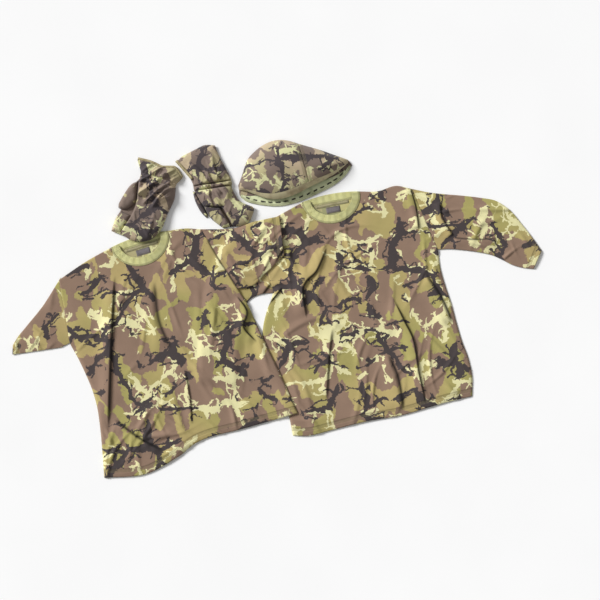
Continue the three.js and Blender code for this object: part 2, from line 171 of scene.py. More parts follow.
def to_line(points: Array, line: Array) -> tuple[Array, Array, Array]:
    """Measures points against a line of short stretches.

    The distance is to the nearest stretch, the side is the sign of the cross product there.

    Args:
        points: (m, 2) places.
        line: (n, 2) line.

    Returns:
        Distance, side (+1 to the left of the line's direction) and length along the line, (m,) each.
    """
    start, step = line[:-1], np.diff(line, axis=0)
    length = np.maximum(np.hypot(step[:, 0], step[:, 1]), 1e-12)
    begun = run_lengths(line)[:-1]
    gaps, sides, alongs = [], [], []
    parts = max(1, len(points) * len(step) // BATCH)
    for part in np.array_split(points, parts):
        off = part[:, None] - start
        t = np.clip((off * step).sum(-1) / length**2, 0, 1)
        miss = off - t[..., None] * step
        gap = np.hypot(miss[..., 0], miss[..., 1])
        k = gap.argmin(1)
        row = np.arange(len(part))
        cross = step[k, 0] * off[row, k, 1] - step[k, 1] * off[row, k, 0]
        gaps.append(gap[row, k])
        sides.append(np.sign(cross))
        alongs.append(begun[k] + t[row, k] * length[k])
    return np.concatenate(gaps), np.concatenate(sides), np.concatenate(alongs)


def inside(points: Array, loop: Array) -> Array:
    """Tells which points lie within a closed loop.

    A point does if a ray from it to +X crosses the loop an odd number of times.

    Args:
        points: (m, 2) places.
        loop: (n, 2) corners.

    Returns:
        (m,) booleans.
    """
    a, b = loop, np.roll(loop, -1, 0)
    found = []
    parts = max(1, len(points) * len(loop) // BATCH)
    for part in np.array_split(points, parts):
        x, y = part[:, :1], part[:, 1:]
        spans = (a[:, 1] > y) != (b[:, 1] > y)
        rise = np.where(b[:, 1] == a[:, 1], 1e-12, b[:, 1] - a[:, 1])
        cross = a[:, 0] + (y - a[:, 1]) * (b[:, 0] - a[:, 0]) / rise
        found.append((spans & (x < cross)).sum(1) % 2 == 1)
    return np.concatenate(found)


def edge_gap(points: Array, loop: Array) -> Array:
    """Distance to a closed loop from either side."""
    return to_line(points, np.vstack([loop, loop[:1]]))[0]


def outside_distance(points: Array, loop: Array) -> Array:
    """Distance to a closed loop from outside, 0 within it."""
    return np.where(inside(points, loop), 0.0, edge_gap(points, loop))


def grown(loop: Array, by: float) -> Array:
    """Moves a loop out along its normals, each at a right angle to the chord of its neighbours.

    Args:
        loop: (n, 2) corners, anticlockwise.
        by: how far.

    Returns:
        (n, 2) moved corners.
    """
    way = np.roll(loop, -1, 0) - np.roll(loop, 1, 0)
    out = np.column_stack([way[:, 1], -way[:, 0]])
    return loop + by * out / np.maximum(np.linalg.norm(out, axis=1, keepdims=True), 1e-9)


def plan_loop(node: str) -> Array:
    """The edge of a frame node seen from above, anticlockwise.

    Its up-facing triangles are taken, and the edges that only one of them has are chained end to end.

    Args:
        node: the frame node's name.

    Returns:
        (n, 2) corner points.
    """
    mesh = frame["nodes"][node].data
    mesh.calc_loop_triangles()
    co = np.empty(len(mesh.vertices) * 3, np.float32)
    mesh.vertices.foreach_get("co", co)
    tri = np.empty(len(mesh.loop_triangles) * 3, np.int32)
    mesh.loop_triangles.foreach_get("vertices", tri)
    co, tri = co.reshape(-1, 3).astype(float), tri.reshape(-1, 3)
    turn = np.cross(co[tri[:, 1]] - co[tri[:, 0]], co[tri[:, 2]] - co[tri[:, 0]])
    up = turn[:, 2] > 0.01 * np.linalg.norm(turn, axis=1)
    places, same = np.unique(np.round(co, 6), axis=0, return_inverse=True)
    lone = border_edges(same.reshape(-1)[tri[up]])
    onward = dict(lone.tolist())
    chain = [int(lone[0, 0])]
    while onward[chain[-1]] != chain[0]:
        chain.append(onward[chain[-1]])
    return places[chain][:, :2]


def sharpest(loop: Array, count: int) -> Array:
    """Finds the corners at which a closed loop turns most.

    Args:
        loop: (n, 2) corners.
        count: how many to find.

    Returns:
        Their indices, in order.
    """
    before, after = loop - np.roll(loop, 1, 0), np.roll(loop, -1, 0) - loop
    cross = before[:, 0] * after[:, 1] - before[:, 1] * after[:, 0]
    turn = np.abs(np.arctan2(cross, (before * after).sum(1)))
    return np.sort(np.argsort(turn)[-count:])


@dataclass(frozen=True)
class Outline:
    """A piece's edge seen from above, anticlockwise: smooth sides that meet at corners."""

    sides: tuple[Array, ...]

    @classmethod
    def of(cls, node: str, corners: int = 4, first: tuple[float, float] = (-1, -1)) -> "Outline":
        """Reads a frame node's outline.

        Args:
            node: the frame node's name.
            corners: how many sharp corners it has.
            first: a direction; the corner furthest that way comes first.

        Returns:
            The outline, each side a line with points 3 mm apart.
        """
        loop = plan_loop(node)
        marks = sharpest(loop, corners)
        lead = int(np.argmax(loop[marks] @ np.array(first, float)))
        loop = np.roll(loop, -marks[lead], 0)
        marks = np.sort((marks - marks[lead]) % len(loop)).tolist() + [len(loop)]
        ring = np.vstack([loop, loop[:1]])
        sides = []
        for a, b in zip(marks, marks[1:]):
            side = ring[a : b + 1]
            sides.append(resampled(spline(side, SPLINE_STEPS * len(side)), OUTLINE_STEP))
        return cls(tuple(sides))

    def loop(self, spacing: float) -> Array:
        """The whole outline with points about spacing apart, corners kept."""
        return np.vstack([resampled(side, spacing)[:-1] for side in self.sides])

    def patch(self, u: Array, v: Array) -> Array:
        """A four-sided outline filled as a Coons patch.

        The mean of the two opposite pairs of sides, less the flat patch between the corners.

        Args:
            u: shares along the first side.
            v: shares from the first side to the third.

        Returns:
            Places, with a last axis of two.
        """
        bottom, right, top, left = self.sides[0], self.sides[1], self.sides[2][::-1], self.sides[3][::-1]
        u1, v1 = u[..., None], v[..., None]
        across = at_share(bottom, u) * (1 - v1) + at_share(top, u) * v1
        along = at_share(left, v) * (1 - u1) + at_share(right, v) * u1
        low = bottom[0] * (1 - u1) + bottom[-1] * u1
        high = top[0] * (1 - u1) + top[-1] * u1
        return across + along - (low * (1 - v1) + high * v1)


# ---- meshes --------------------------------------------------------------------------------

FOLD_ROWS = (-5.4, -3.6, -2.4, -1.2, 0, 1.2, 2.4, 3.6, 5.4)  # millimetres to either side of a fold
FOLD_CLEAR = 6.5 * MM  # the even lattice keeps this far from a fold
ROW_RISE = 0.866  # height of an equilateral triangle
EDGE_CLEAR = 0.6  # shares of the spacing that the lattice keeps from the outline


def beside(line: Array) -> Array:
    """Rows of points along a line, at the offsets where a fold bends most.

    Args:
        line: (n, 2) line.

    Returns:
        (m, 2) points.
    """
    middle = resampled(line, OUTLINE_STEP)
    way = np.gradient(middle, axis=0)
    across = np.column_stack([-way[:, 1], way[:, 0]]) / np.linalg.norm(way, axis=1, keepdims=True)
    offsets = np.array(FOLD_ROWS) * MM
    return (middle[:, None] + offsets[None, :, None] * across[:, None]).reshape(-1, 2)


def lattice(loop: Array, spacing: float, folds: tuple[Array, ...] = ()) -> tuple[Array, Array]:
    """Fills a loop with near-equal triangles, finer along its folds.

    Points stand on a triangular lattice, rows spacing * 0.866 apart and every second one shifted by
    half, with the loop's own points round them, and a Delaunay triangulation joins them.

    Args:
        loop: (n, 2) outline, anticlockwise.
        spacing: distance between neighbours.
        folds: lines along which the points stand in close rows.

    Returns:
        (m, 2) points and (k, 3) triangles that face up.
    """
    low, high = loop.min(0), loop.max(0)
    x, y = np.meshgrid(
        np.arange(low[0] - spacing, high[0] + spacing, spacing),
        np.arange(low[1], high[1], spacing * ROW_RISE),
    )
    x[1::2] += spacing / 2
    filling = np.column_stack([x.ravel(), y.ravel()])
    for line in folds:
        filling = filling[to_line(filling, line)[0] > FOLD_CLEAR]
        filling = np.vstack([filling, beside(line)])
    clear = edge_gap(filling, loop) > EDGE_CLEAR * spacing
    filling = filling[clear & inside(filling, loop)]
    points = np.vstack([loop, filling])
    count = len(loop)
    ring = list(zip(range(count), [*range(1, count), 0]))
    made = delaunay_2d_cdt([Vector(p) for p in points.tolist()], ring, [], 0, 1e-7)
    points = np.array([tuple(p) for p in made[0]])
    faces = np.array(made[2])
    faces = faces[inside(points[faces].mean(1), loop)]
    a, b, c = (points[faces[:, k]] for k in range(3))
    area = (b[:, 0] - a[:, 0]) * (c[:, 1] - a[:, 1]) - (b[:, 1] - a[:, 1]) * (c[:, 0] - a[:, 0])
    faces[area < 0] = faces[area < 0][:, ::-1]
    return points, faces[np.abs(area) > 1e-12]


def grid_faces(rows: int, columns: int, ring: bool = False) -> Array:
    """Triangles of a grid of points.

    Args:
        rows: points along the first axis.
        columns: points along the last axis.
        ring: whether the last axis closes into a ring.

    Returns:
        (k, 3) triangles, two for each cell.
    """
    i, j = np.meshgrid(np.arange(rows - 1), np.arange(columns - (not ring)), indexing="ij")
    a = i * columns + j
    b = i * columns + (j + 1) % columns
    c, d = a + columns, b + columns
    return np.vstack([np.stack([a, c, d], -1).reshape(-1, 3), np.stack([a, d, b], -1).reshape(-1, 3)])


def vertex_normals(points: Array, faces: Array) -> Array:
    """Unit normals: the sum of the neighbouring triangles' cross products, made length one.

    Args:
        points: (n, 3) places.
        faces: (k, 3) triangles.

    Returns:
        (n, 3) normals.
    """
    a, b, c = (points[faces[:, k]] for k in range(3))
    cross = np.cross(b - a, c - a)
    total = np.zeros_like(points)
    for k in range(3):
        np.add.at(total, faces[:, k], cross)
    return total / np.maximum(np.linalg.norm(total, axis=1, keepdims=True), 1e-12)


def border_edges(faces: Array) -> Array:
    """Finds the edges that only one triangle has.

    Args:
        faces: (k, 3) triangles.

    Returns:
        (m, 2) edges in their triangles' direction.
    """
    edges = np.vstack([faces[:, [0, 1]], faces[:, [1, 2]], faces[:, [2, 0]]])
    size = int(faces.max()) + 1
    return edges[~np.isin(edges[:, 0] * size + edges[:, 1], edges[:, 1] * size + edges[:, 0])]


@dataclass
class Surface:
    """Points, triangles and the plan place of each point, from which a mesh is made, and how much
    painted shade each point gets at the foot of a fold. The last `flat` triangles are shaded flat."""

    points: Array
    faces: Array
    cloth: Array
    seam: Array
    painted_fold_shade: Array | None = None
    flat: int = 0

    def thickened(self, thickness: float) -> "Surface":
        """The closed sheet, its back moved along the normals by the thickness."""
        return self.down_to(self.points - thickness * vertex_normals(self.points, self.faces))

    def down_to(self, back: Array) -> "Surface":
        """The surface closed by a back of the same faces turned over and a rim.

        Args:
            back: a place for each of the surface's points.

        Returns:
            The closed surface, whose last triangles are the rim, two for each open edge.
        """
        count = len(self.points)
        a, b = border_edges(self.faces).T
        rim = np.vstack([np.stack([b, a, a + count], 1), np.stack([b, a + count, b + count], 1)])
        faces = np.vstack([self.faces, self.faces[:, ::-1] + count, rim])
        cloth, seam = np.vstack([self.cloth] * 2), np.vstack([self.seam] * 2)
        painted_fold_shade = None if self.painted_fold_shade is None else np.concatenate([self.painted_fold_shade] * 2)
        return Surface(np.vstack([self.points, back]), faces, cloth, seam, painted_fold_shade)

    def capped(self, ring: int) -> "Surface":
        """A tube's surface closed at both ends by fans about the middle of its first and last ring.

        Args:
            ring: how many points a ring has.

        Returns:
            The closed surface.
        """
        count = len(self.points)
        first, last = self.points[:ring].mean(0), self.points[-ring:].mean(0)
        here = np.arange(ring)
        onward = (here + 1) % ring
        far = count - ring
        start = np.stack([np.full(ring, count), here, onward], 1)
        end = np.stack([np.full(ring, count + 1), far + onward, far + here], 1)
        cloth, seam = (
            np.vstack([places, places[:ring].mean(0), places[-ring:].mean(0)])
            for places in (self.cloth, self.seam)
        )
        points = np.vstack([self.points, first, last])
        return Surface(points, np.vstack([self.faces, start, end]), cloth, seam)

    def facing_out(self) -> "Surface":
        """The same closed surface with its triangles turned out, judged by its signed volume.

        Returns:
            The surface itself.
        """
        a, b, c = (self.points[self.faces[:, k]] for k in range(3))
        if (a * np.cross(b, c)).sum() < 0:
            self.faces = self.faces[:, ::-1]
        return self

    def mesh(self, name: str) -> bpy.types.Object:
        """Makes the Blender object, with its cloth and seam places as UV maps.

        Args:
            name: the object's name.

        Returns:
            The object, linked to the scene, smooth but for its flat triangles.
        """
        data = bpy.data.meshes.new(name)
        faces = self.faces.astype(np.int32)
        data.vertices.add(len(self.points))
        data.vertices.foreach_set("co", self.points.astype(np.float32).ravel())
        data.loops.add(faces.size)
        data.loops.foreach_set("vertex_index", faces.ravel())
        data.polygons.add(len(faces))
        data.polygons.foreach_set("loop_start", np.arange(0, faces.size, 3, dtype=np.int32))
        data.polygons.foreach_set("use_smooth", np.arange(len(faces)) < len(faces) - self.flat)
        data.update(calc_edges=True)
        for layer, places in (("cloth", self.cloth), ("seam", self.seam)):
            uv = data.uv_layers.new(name=layer)
            uv.data.foreach_set("uv", places[faces.ravel()].astype(np.float32).ravel())
        # the painted fold shade goes to the mesh as a point attribute, which the materials darken by
        if self.painted_fold_shade is not None:
            depth = data.attributes.new("painted_fold_shade", "FLOAT", "POINT")
            depth.data.foreach_set("value", self.painted_fold_shade.astype(np.float32))
        made = bpy.data.objects.new(name, data)
        bpy.context.scene.collection.objects.link(made)
        return made


# ---- folds ---------------------------------------------------------------------------------

FOLD_GAIN = 1.9  # how far every placed fold stands above its noted height
CREASE_GAIN = 2.3  # the same for chance creases
# Where a fold's foot gets painted shade: a dark line in place of the shadow of its steep side.
FOOT = 1.25  # a fold's painted shade lies this many steep reaches from its line
FOOT_REACH = 2.3 * MM  # half-width of the narrowest line of painted fold shade
FOOT_SHARE = 0.25  # what a wider fold adds to it, in steep reaches
DEEP = 4.0  # a fold this high gets full painted shade at its foot, in millimetres


@dataclass(frozen=True)
class Fold:
    """A fold that stands up along a line: a Gaussian hill, steep on its left and wide on its right."""

    line: tuple[tuple[float, float], ...]
    height: float
    width: float = 22.0
    steep: float = 3.5
    ends: float = 0.18

    def path(self) -> Array:
        """The fold's line as a smooth run of points, in metres."""
        return spline(np.array(self.line) * MM, 8 * len(self.line))

    def rise(self, places: Array) -> tuple[Array, Array]:
        """The fold at places in the garment's own frame.

        Args:
            places: (m, 2) places.

        Returns:
            Its height, and how much painted shade each place gets at its steep foot, where the fold's
            shadow would fall: a narrow Gaussian about 1.25 times the steep reach from the line.
        """
        line = self.path()
        gap, side, along = to_line(places, line)
        share = along / run_lengths(line)[-1]
        reach = np.where(side > 0, self.steep, self.width) * MM
        taper = smoothstep(0, self.ends, share) * smoothstep(0, self.ends, 1 - share)
        # painted shade: a dark line at the steep foot, where the fold's shadow would fall
        foot = (gap * side - FOOT * self.steep * MM) / (FOOT_REACH + FOOT_SHARE * self.steep * MM)
        depth = taper**0.5 * np.exp(-(foot**2)) * min(1.0, self.height / DEEP)
        return FOLD_GAIN * self.height * MM * taper * np.exp(-((gap / reach) ** 2)), depth


@dataclass(frozen=True)
class Creases:
    """Chance creases: hills drawn out along directions of their own, strewn over an area."""

    seed: int
    count: int
    area: tuple[float, float, float, float]
    heading: float
    spread: float = 35.0
    length: tuple[float, float] = (30.0, 95.0)
    width: tuple[float, float] = (5.0, 13.0)
    height: tuple[float, float] = (0.8, 3.0)
    bend: float = 1.6
    lean: float = 0.6

    def rise(self, places: Array) -> Array:
        """Sum of the creases' heights.

        Each is h exp(-(a/L)^2 - (b/W)^2) with a along it, b across it and bent a little by a^2.

        Args:
            places: (m, 2) places in the garment's own frame.

        Returns:
            (m,) heights.
        """
        chance = np.random.default_rng(self.seed)
        x0, y0, x1, y1 = self.area
        centre = chance.uniform((x0, y0), (x1, y1), (self.count, 2)) * MM
        angle = np.radians(self.heading + chance.normal(0, self.spread, self.count))
        length = chance.uniform(*self.length, self.count) * MM
        width = chance.uniform(*self.width, self.count) * MM
        height = chance.uniform(*self.height, self.count) * MM
        bend = chance.normal(0, self.bend, self.count)
        off = places[:, None] - centre
        a = off[..., 0] * np.cos(angle) + off[..., 1] * np.sin(angle)
        b = off[..., 1] * np.cos(angle) - off[..., 0] * np.sin(angle) - bend * a**2
        steep = np.where(b > 0, width, self.lean * width)
        return CREASE_GAIN * (height * np.exp(-((a / length) ** 2) - (b / steep) ** 2)).sum(1)


@dataclass(frozen=True)
class Relief:
    """How a laid garment's upper cloth rises over its lie."""

    folds: tuple[Fold, ...] = ()
    creases: tuple[Creases, ...] = ()
    swell: float = 1.2
    seed: int = 1
    waves: int = 6
    wave_length: tuple[float, float] = (0.09, 0.26)

    def rise(self, places: Array) -> Array:
        """Folds, creases and a low swell, the mean of crossing sine waves.

        Args:
            places: (m, 2) places in the garment's own frame.

        Returns:
            (m,) heights.
        """
        chance = np.random.default_rng(self.seed)
        wave = 2 * np.pi / chance.uniform(*self.wave_length, self.waves)
        angle = chance.uniform(0, np.pi, self.waves)
        phase = chance.uniform(0, 2 * np.pi, self.waves)
        ways = places @ np.stack([np.cos(angle), np.sin(angle)]) * wave + phase
        total = self.swell * MM * (0.5 + 0.5 * np.sin(ways)).mean(1) * 2
        for fold in self.folds:
            total = total + fold.rise(places)[0]
        for creases in self.creases:
            total = total + creases.rise(places)
        return total

    def depth(self, places: Array) -> Array:
        """How much painted shade each place gets at the foot of a fold, from 0 to 1."""
        return np.max([fold.rise(places)[1] for fold in self.folds], 0)


@dataclass(frozen=True)
class Frame2D:
    """A garment's own frame on the floor: its origin and how far it is turned, in degrees."""

    origin: tuple[float, float]
    turned: float

    def axes(self) -> Array:
        """The garment's X and Y directions as rows."""
        c, s = math.cos(math.radians(self.turned)), math.sin(math.radians(self.turned))
        return np.array([[c, s], [-s, c]])

    def local(self, places: Array) -> Array:
        """Places on the floor, in the garment's frame."""
        return (places - np.array(self.origin)) @ self.axes().T

    def world(self, places: Array) -> Array:
        """Places in the garment's frame, on the floor."""
        return np.asarray(places) @ self.axes() + np.array(self.origin)

    @classmethod
    def of_collar(cls, node: str, rise: float) -> "Frame2D":
        """A shirt's frame from its back rib, which lies evenly about the shirt's middle line.

        Args:
            node: the back rib's frame node.
            rise: how far the rib's top lies above the line between its ends.

        Returns:
            The frame, its X axis along the rib's longest direction.
        """
        loop = resampled(plan_loop(node), MM)
        middle = loop.mean(0)
        _, _, ways = np.linalg.svd(loop - middle)
        along = ways[0] * np.sign(ways[0][0])
        up = np.array([-along[1], along[0]])
        across, high = (loop - middle) @ along, (loop - middle) @ up
        origin = middle + along * (across.max() + across.min()) / 2 + up * (high.max() - rise)
        return cls(tuple(origin), math.degrees(math.atan2(along[1], along[0])))


# ---- shader building -----------------------------------------------------------------------


class Tree:
    """Adds shader nodes to a node tree and links them."""

    def __init__(self, tree: bpy.types.NodeTree) -> None:
        """Keeps the tree that the nodes go into."""
        self.tree = tree

    def add(self, kind: str, inputs: dict | None = None, **settings: object) -> bpy.types.Node:
        """Adds one node.

        Args:
            kind: the node's type name, without its ShaderNode prefix.
            inputs: values or sockets by input name or number.
            settings: the node's own properties.

        Returns:
            The node.
        """
        node = self.tree.nodes.new("ShaderNode" + kind)
        for name, value in settings.items():
            setattr(node, name, value)
        return self.fed(node, inputs or {})

    def fed(self, node: bpy.types.Node, inputs: dict) -> bpy.types.Node:
        """Links or sets a node's inputs.

        Args:
            node: the node.
            inputs: values or sockets by input name or number.

        Returns:
            The same node.
        """
        for name, value in inputs.items():
            if isinstance(value, Socket):
                self.tree.links.new(value, node.inputs[name])
            else:
                node.inputs[name].default_value = value
        return node

    def group(self, group: bpy.types.NodeTree, inputs: dict) -> bpy.types.Node:
        """Places a node group with its own values.

        Args:
            group: the group.
            inputs: values or sockets by input name.

        Returns:
            Its node.
        """
        node = self.tree.nodes.new("ShaderNodeGroup")
        node.node_tree = group
        return self.fed(node, inputs)

    def math(self, operation: str, *values: object, clamp: bool = False) -> Socket:
        """The result of a Math node."""
        node = self.add("Math", dict(enumerate(values)), operation=operation, use_clamp=clamp)
        return node.outputs[0]

    def vector(self, operation: str, *values: object) -> Socket:
        """The result of a Vector Math node."""
        return self.add("VectorMath", dict(enumerate(values)), operation=operation).outputs[0]

    def noise(
        self, vector: Socket, scale: float, detail: float = 2.0, rough: float = 0.5
    ) -> bpy.types.Node:
        """A noise texture of the given scale."""
        inputs = {"Vector": vector, "Scale": scale, "Detail": detail, "Roughness": rough}
        return self.add("TexNoise", inputs)

    def mix(self, share: object, a: object, b: object) -> Socket:
        """Two colours mixed, b by its share; the Mix node's colours are its inputs 6 and 7."""
        node = self.add("Mix", {}, data_type="RGBA", clamp_factor=True)
        return self.fed(node, {0: share, 6: a, 7: b}).outputs[2]

    def edge(self, value: Socket, low: float, high: float) -> Socket:
        """0 below low, 1 above high, smooth between."""
        inputs = {"Value": value, "From Min": low, "From Max": high}
        return self.add("MapRange", inputs, interpolation_type="SMOOTHSTEP").outputs[0]

    def wander(self, place: Socket, scale: float, reach: tuple, *rest: float) -> Socket:
        """How far a noise moves a place.

        Args:
            place: where, as a vector.
            scale: the noise's scale.
            reach: how far along each axis.
            rest: the noise's detail and roughness.

        Returns:
            How far to move: the noise's colour less a half, times the reach.
        """
        sway = self.vector("SUBTRACT", self.noise(place, scale, *rest).outputs["Color"], (0.5, 0.5, 0.5))
        return self.vector("MULTIPLY", sway, reach)


class ShaderGroup:
    """A shader node group with named inputs and outputs, built once."""

    def __init__(self, name: str, inputs: dict[str, str], outputs: dict[str, str]) -> None:
        """Makes the group and its sockets.

        Args:
            name: the group's name.
            inputs: input names with their kinds: Vector, Float or Color.
            outputs: output names with their kinds.
        """
        self.tree = bpy.data.node_groups.new(name, "ShaderNodeTree")
        for names, way in ((inputs, "INPUT"), (outputs, "OUTPUT")):
            for socket, kind in names.items():
                self.tree.interface.new_socket(socket, in_out=way, socket_type=f"NodeSocket{kind}")
        self.build = Tree(self.tree)
        self.given = self.tree.nodes.new("NodeGroupInput").outputs
        self.out = self.tree.nodes.new("NodeGroupOutput").inputs

    def give(self, name: str, value: Socket) -> None:
        """Links a value to one of the group's outputs."""
        self.tree.links.new(value, self.out[name])


@dataclass(frozen=True)
class Strokes:
    """How one colour's branching strokes lie, with widths in cells.

    Offset moves the pattern, stretch and scale size its cells. Strokes are wider by growth where the
    amount is over least, up to widest, and swell again past swollen_from. Spurs follow cells spur_cells
    times smaller, as far out as spur_growth allows and at most spur_reach.
    """

    offset: float
    stretch: tuple[float, float, float]
    scale: float
    least: float
    widest: float
    growth: float = 1.5
    swollen_from: float = 0.08
    swell: float = 0.45
    spur_growth: float = 2.4
    spur_reach: float = 0.27
    spur_width: float = 0.088
    spur_cells: float = 3.0

    def borders(self, b: Tree, place: Socket, scale: float) -> Socket:
        """Measures how far a place is from the nearest cell border.

        Args:
            b: the tree to build in.
            place: where.
            scale: cells to the metre before they are stretched.

        Returns:
            The distance, in cells.
        """
        inputs = {"Vector": b.vector("MULTIPLY", place, self.stretch), "Scale": scale}
        cells = b.add("TexVoronoi", inputs, feature="DISTANCE_TO_EDGE", voronoi_dimensions="2D")
        return cells.outputs[0]

    def mask(self, b: Tree, frayed: Socket, place: Socket) -> Socket:
        """Draws the strokes and their blunt spurs.

        Args:
            b: the tree to build in.
            frayed: the place with its frayed edges.
            place: the plain place.

        Returns:
            1 on the strokes and 0 off them.
        """
        moved = b.vector("ADD", frayed, (self.offset, -self.offset, 0.0))
        border = self.borders(b, moved, self.scale)
        shifted = b.vector("ADD", place, (self.offset * 3, self.offset, 0.0))
        over = b.math("SUBTRACT", b.noise(shifted, 7.0, 2.0).outputs[0], self.least)
        width = b.math("MINIMUM", b.math("MULTIPLY", over, self.growth), self.widest)
        past = b.math("MAXIMUM", b.math("SUBTRACT", over, self.swollen_from), 0.0)
        width = b.math("ADD", width, b.math("MULTIPLY", past, self.swell))
        stroke = b.edge(b.math("SUBTRACT", width, border), 0.0, 0.008)
        reach = b.math("MULTIPLY", b.math("ADD", over, 0.01), self.spur_growth)
        near = b.edge(b.math("SUBTRACT", b.math("MINIMUM", reach, self.spur_reach), border), 0.0, 0.01)
        twigs = self.borders(b, moved, self.scale * self.spur_cells)
        spur = b.edge(b.math("SUBTRACT", self.spur_width, twigs), 0.0, 0.02)
        return b.math("MAXIMUM", stroke, b.math("MULTIPLY", near, spur))


LIGHT_STROKES = Strokes(3.1, (1.0, 0.9, 1.0), 7.8, 0.482, 0.052)
DARK_STROKES = Strokes(7.7, (0.8, 1.15, 1.0), 7.2, 0.468, 0.062)
SWAY = (0.075, 0.075, 0.0)
FRAY = (0.027, 0.027, 0.0)
OLIVE = (0.84, 0.96, 0.78)


def camouflage_group() -> bpy.types.NodeTree:
    """Four-colour woodland print.

    Khaki and brown are two sides of a stretched noise, and the khaki drifts to olive. Light and dark
    strokes follow the borders of large warped Voronoi cells, as wide as a second noise says. Spurs
    follow the borders of small cells, and a fine noise frays every edge.

    Returns:
        The node group.
    """
    colours = {"Khaki": "Color", "Brown": "Color", "Dark": "Color", "Light": "Color"}
    inputs = {"Vector": "Vector", "Seed": "Float", **colours}
    group = ShaderGroup("Camouflage print", inputs, {"Color": "Color"})
    b, given = group.build, group.given
    seed = b.add("CombineXYZ", {0: given["Seed"], 1: b.math("MULTIPLY", given["Seed"], 1.7)}).outputs[0]
    place = b.vector("ADD", given["Vector"], seed)
    swayed = b.vector("ADD", place, b.wander(place, 11, SWAY, 1.5))
    frayed = b.vector("ADD", swayed, b.wander(place, 62, FRAY, 3.0, 0.65))

    patches = b.noise(b.vector("MULTIPLY", frayed, (1.4, 0.78, 1.0)), 9.5, 1.4).outputs[0]
    brown = b.edge(patches, 0.478, 0.486)
    age = b.edge(b.noise(place, 3.4, 1.0).outputs[0], 0.4, 0.62)
    olive = b.vector("MULTIPLY", given["Khaki"], OLIVE)
    ground = b.mix(brown, b.mix(age, given["Khaki"], olive), given["Brown"])
    lit = b.mix(LIGHT_STROKES.mask(b, frayed, place), ground, given["Light"])
    group.give("Color", b.mix(DARK_STROKES.mask(b, frayed, place), lit, given["Dark"]))
    return group.tree


def cloth_group() -> bpy.types.NodeTree:
    """What every cotton here shares: fade, fluff and knit.

    Fade is a low noise, fluff a fine one. The knit's height is the product of two crossing sines,
    columns one pitch apart and rows 0.7 pitch apart.

    Returns:
        The node group, which puts out a colour, a roughness and a height.
    """
    inputs = {"Vector": "Vector", "Color": "Color", "Pitch": "Float", "Fade": "Float"}
    outputs = {"Color": "Color", "Roughness": "Float", "Height": "Float"}
    group = ShaderGroup("Cloth surface", inputs, outputs)
    b, given = group.build, group.given
    fade = b.noise(given["Vector"], 14, 3).outputs[0]
    fluff = b.noise(given["Vector"], 900, 2, 0.7).outputs[0]
    tone = b.math("ADD", b.math("MULTIPLY", b.math("SUBTRACT", fade, 0.5), given["Fade"]), 1.0)
    tone = b.math("ADD", tone, b.math("MULTIPLY", b.math("SUBTRACT", fluff, 0.5), 0.22))
    toned = b.add("VectorMath", {0: given["Color"], "Scale": tone}, operation="SCALE")
    group.give("Color", toned.outputs[0])
    group.give("Roughness", b.math("ADD", b.math("MULTIPLY", fluff, 0.12), 0.84))

    parts = b.add("SeparateXYZ", {0: given["Vector"]}).outputs
    turn = b.math("DIVIDE", 2 * math.pi, given["Pitch"])
    column = b.math("SINE", b.math("MULTIPLY", parts[0], turn))
    lean = b.math("MULTIPLY", b.math("ABSOLUTE", column), 0.8)
    climb = b.math("MULTIPLY", b.math("MULTIPLY", parts[1], turn), 1.4)
    row = b.math("SINE", b.math("ADD", climb, lean))
    knit = b.math("MULTIPLY", b.math("ADD", column, row), 0.25)
    group.give("Height", b.math("ADD", knit, b.math("MULTIPLY", fluff, 0.5)))
    return group.tree


def stitch_group() -> bpy.types.NodeTree:
    """Rows of stitches beside an edge.

    The vector's X runs along the edge and its Y is the distance from it. Two needle lines Gap apart
    start at Inset; a stitch fills 70% of each Length, and the cloth dips between them.

    Returns:
        The node group, with the thread's mask, the dip's mask, which the materials also paint as shade, and a
        height.
    """
    inputs = {"Vector": "Vector", "Inset": "Float", "Gap": "Float", "Length": "Float"}
    group = ShaderGroup("Stitches", inputs, {"Thread": "Float", "Dip": "Float", "Height": "Float"})
    b, given = group.build, group.given
    parts = b.add("SeparateXYZ", {0: given["Vector"]}).outputs
    first = b.math("ABSOLUTE", b.math("SUBTRACT", parts[1], given["Inset"]))
    second = b.math("ABSOLUTE", b.math("SUBTRACT", first, given["Gap"]))
    nearest = b.math("MINIMUM", first, second)
    pitch = b.math("FRACT", b.math("DIVIDE", parts[0], given["Length"]))
    dash = b.edge(b.math("PINGPONG", pitch, 0.5), 0.12, 0.2)
    line = b.edge(nearest, 0.9 * MM, 0.4 * MM)
    thread = b.math("MULTIPLY", dash, line)
    dip = b.edge(nearest, 3.2 * MM, 0.4 * MM)
    group.give("Thread", thread)
    group.give("Dip", dip)
    group.give("Height", b.math("SUBTRACT", thread, b.math("MULTIPLY", dip, 1.4)))
    return group.tree


@dataclass(frozen=True)
class Palette:
    """The print's four colours, linear."""

    khaki: Colour
    brown: Colour
    dark: Colour
    light: Colour


def linear(red: int, green: int, blue: int) -> Colour:
    """An 8-bit display colour in linear light, by the sRGB curve, with full alpha.

    Args:
        red: its red, 0 to 255.
        green: its green.
        blue: its blue.

    Returns:
        The colour.
    """
    shares = np.array([red, green, blue]) / 255
    made = np.where(shares <= 0.04045, shares / 12.92, ((shares + 0.055) / 1.055) ** 2.4)
    return (*made.tolist(), 1.0)


JERSEY = Palette(linear(180, 161, 108), linear(143, 118, 100), linear(70, 62, 62), linear(226, 220, 168))
TWILL = Palette(linear(190, 170, 142), linear(126, 110, 100), linear(74, 66, 68), linear(212, 210, 160))
WRONG_SIDE = linear(206, 206, 146)
# painted shade: the near-black that a fold's foot is mixed towards, in place of its shadow
FOLD_SHADE_COLOUR = linear(18, 15, 15)
# painted shade in the dips beside stitches
PAINTED_DIP_SHADE = linear(70, 60, 48)
THREAD = linear(150, 140, 96)
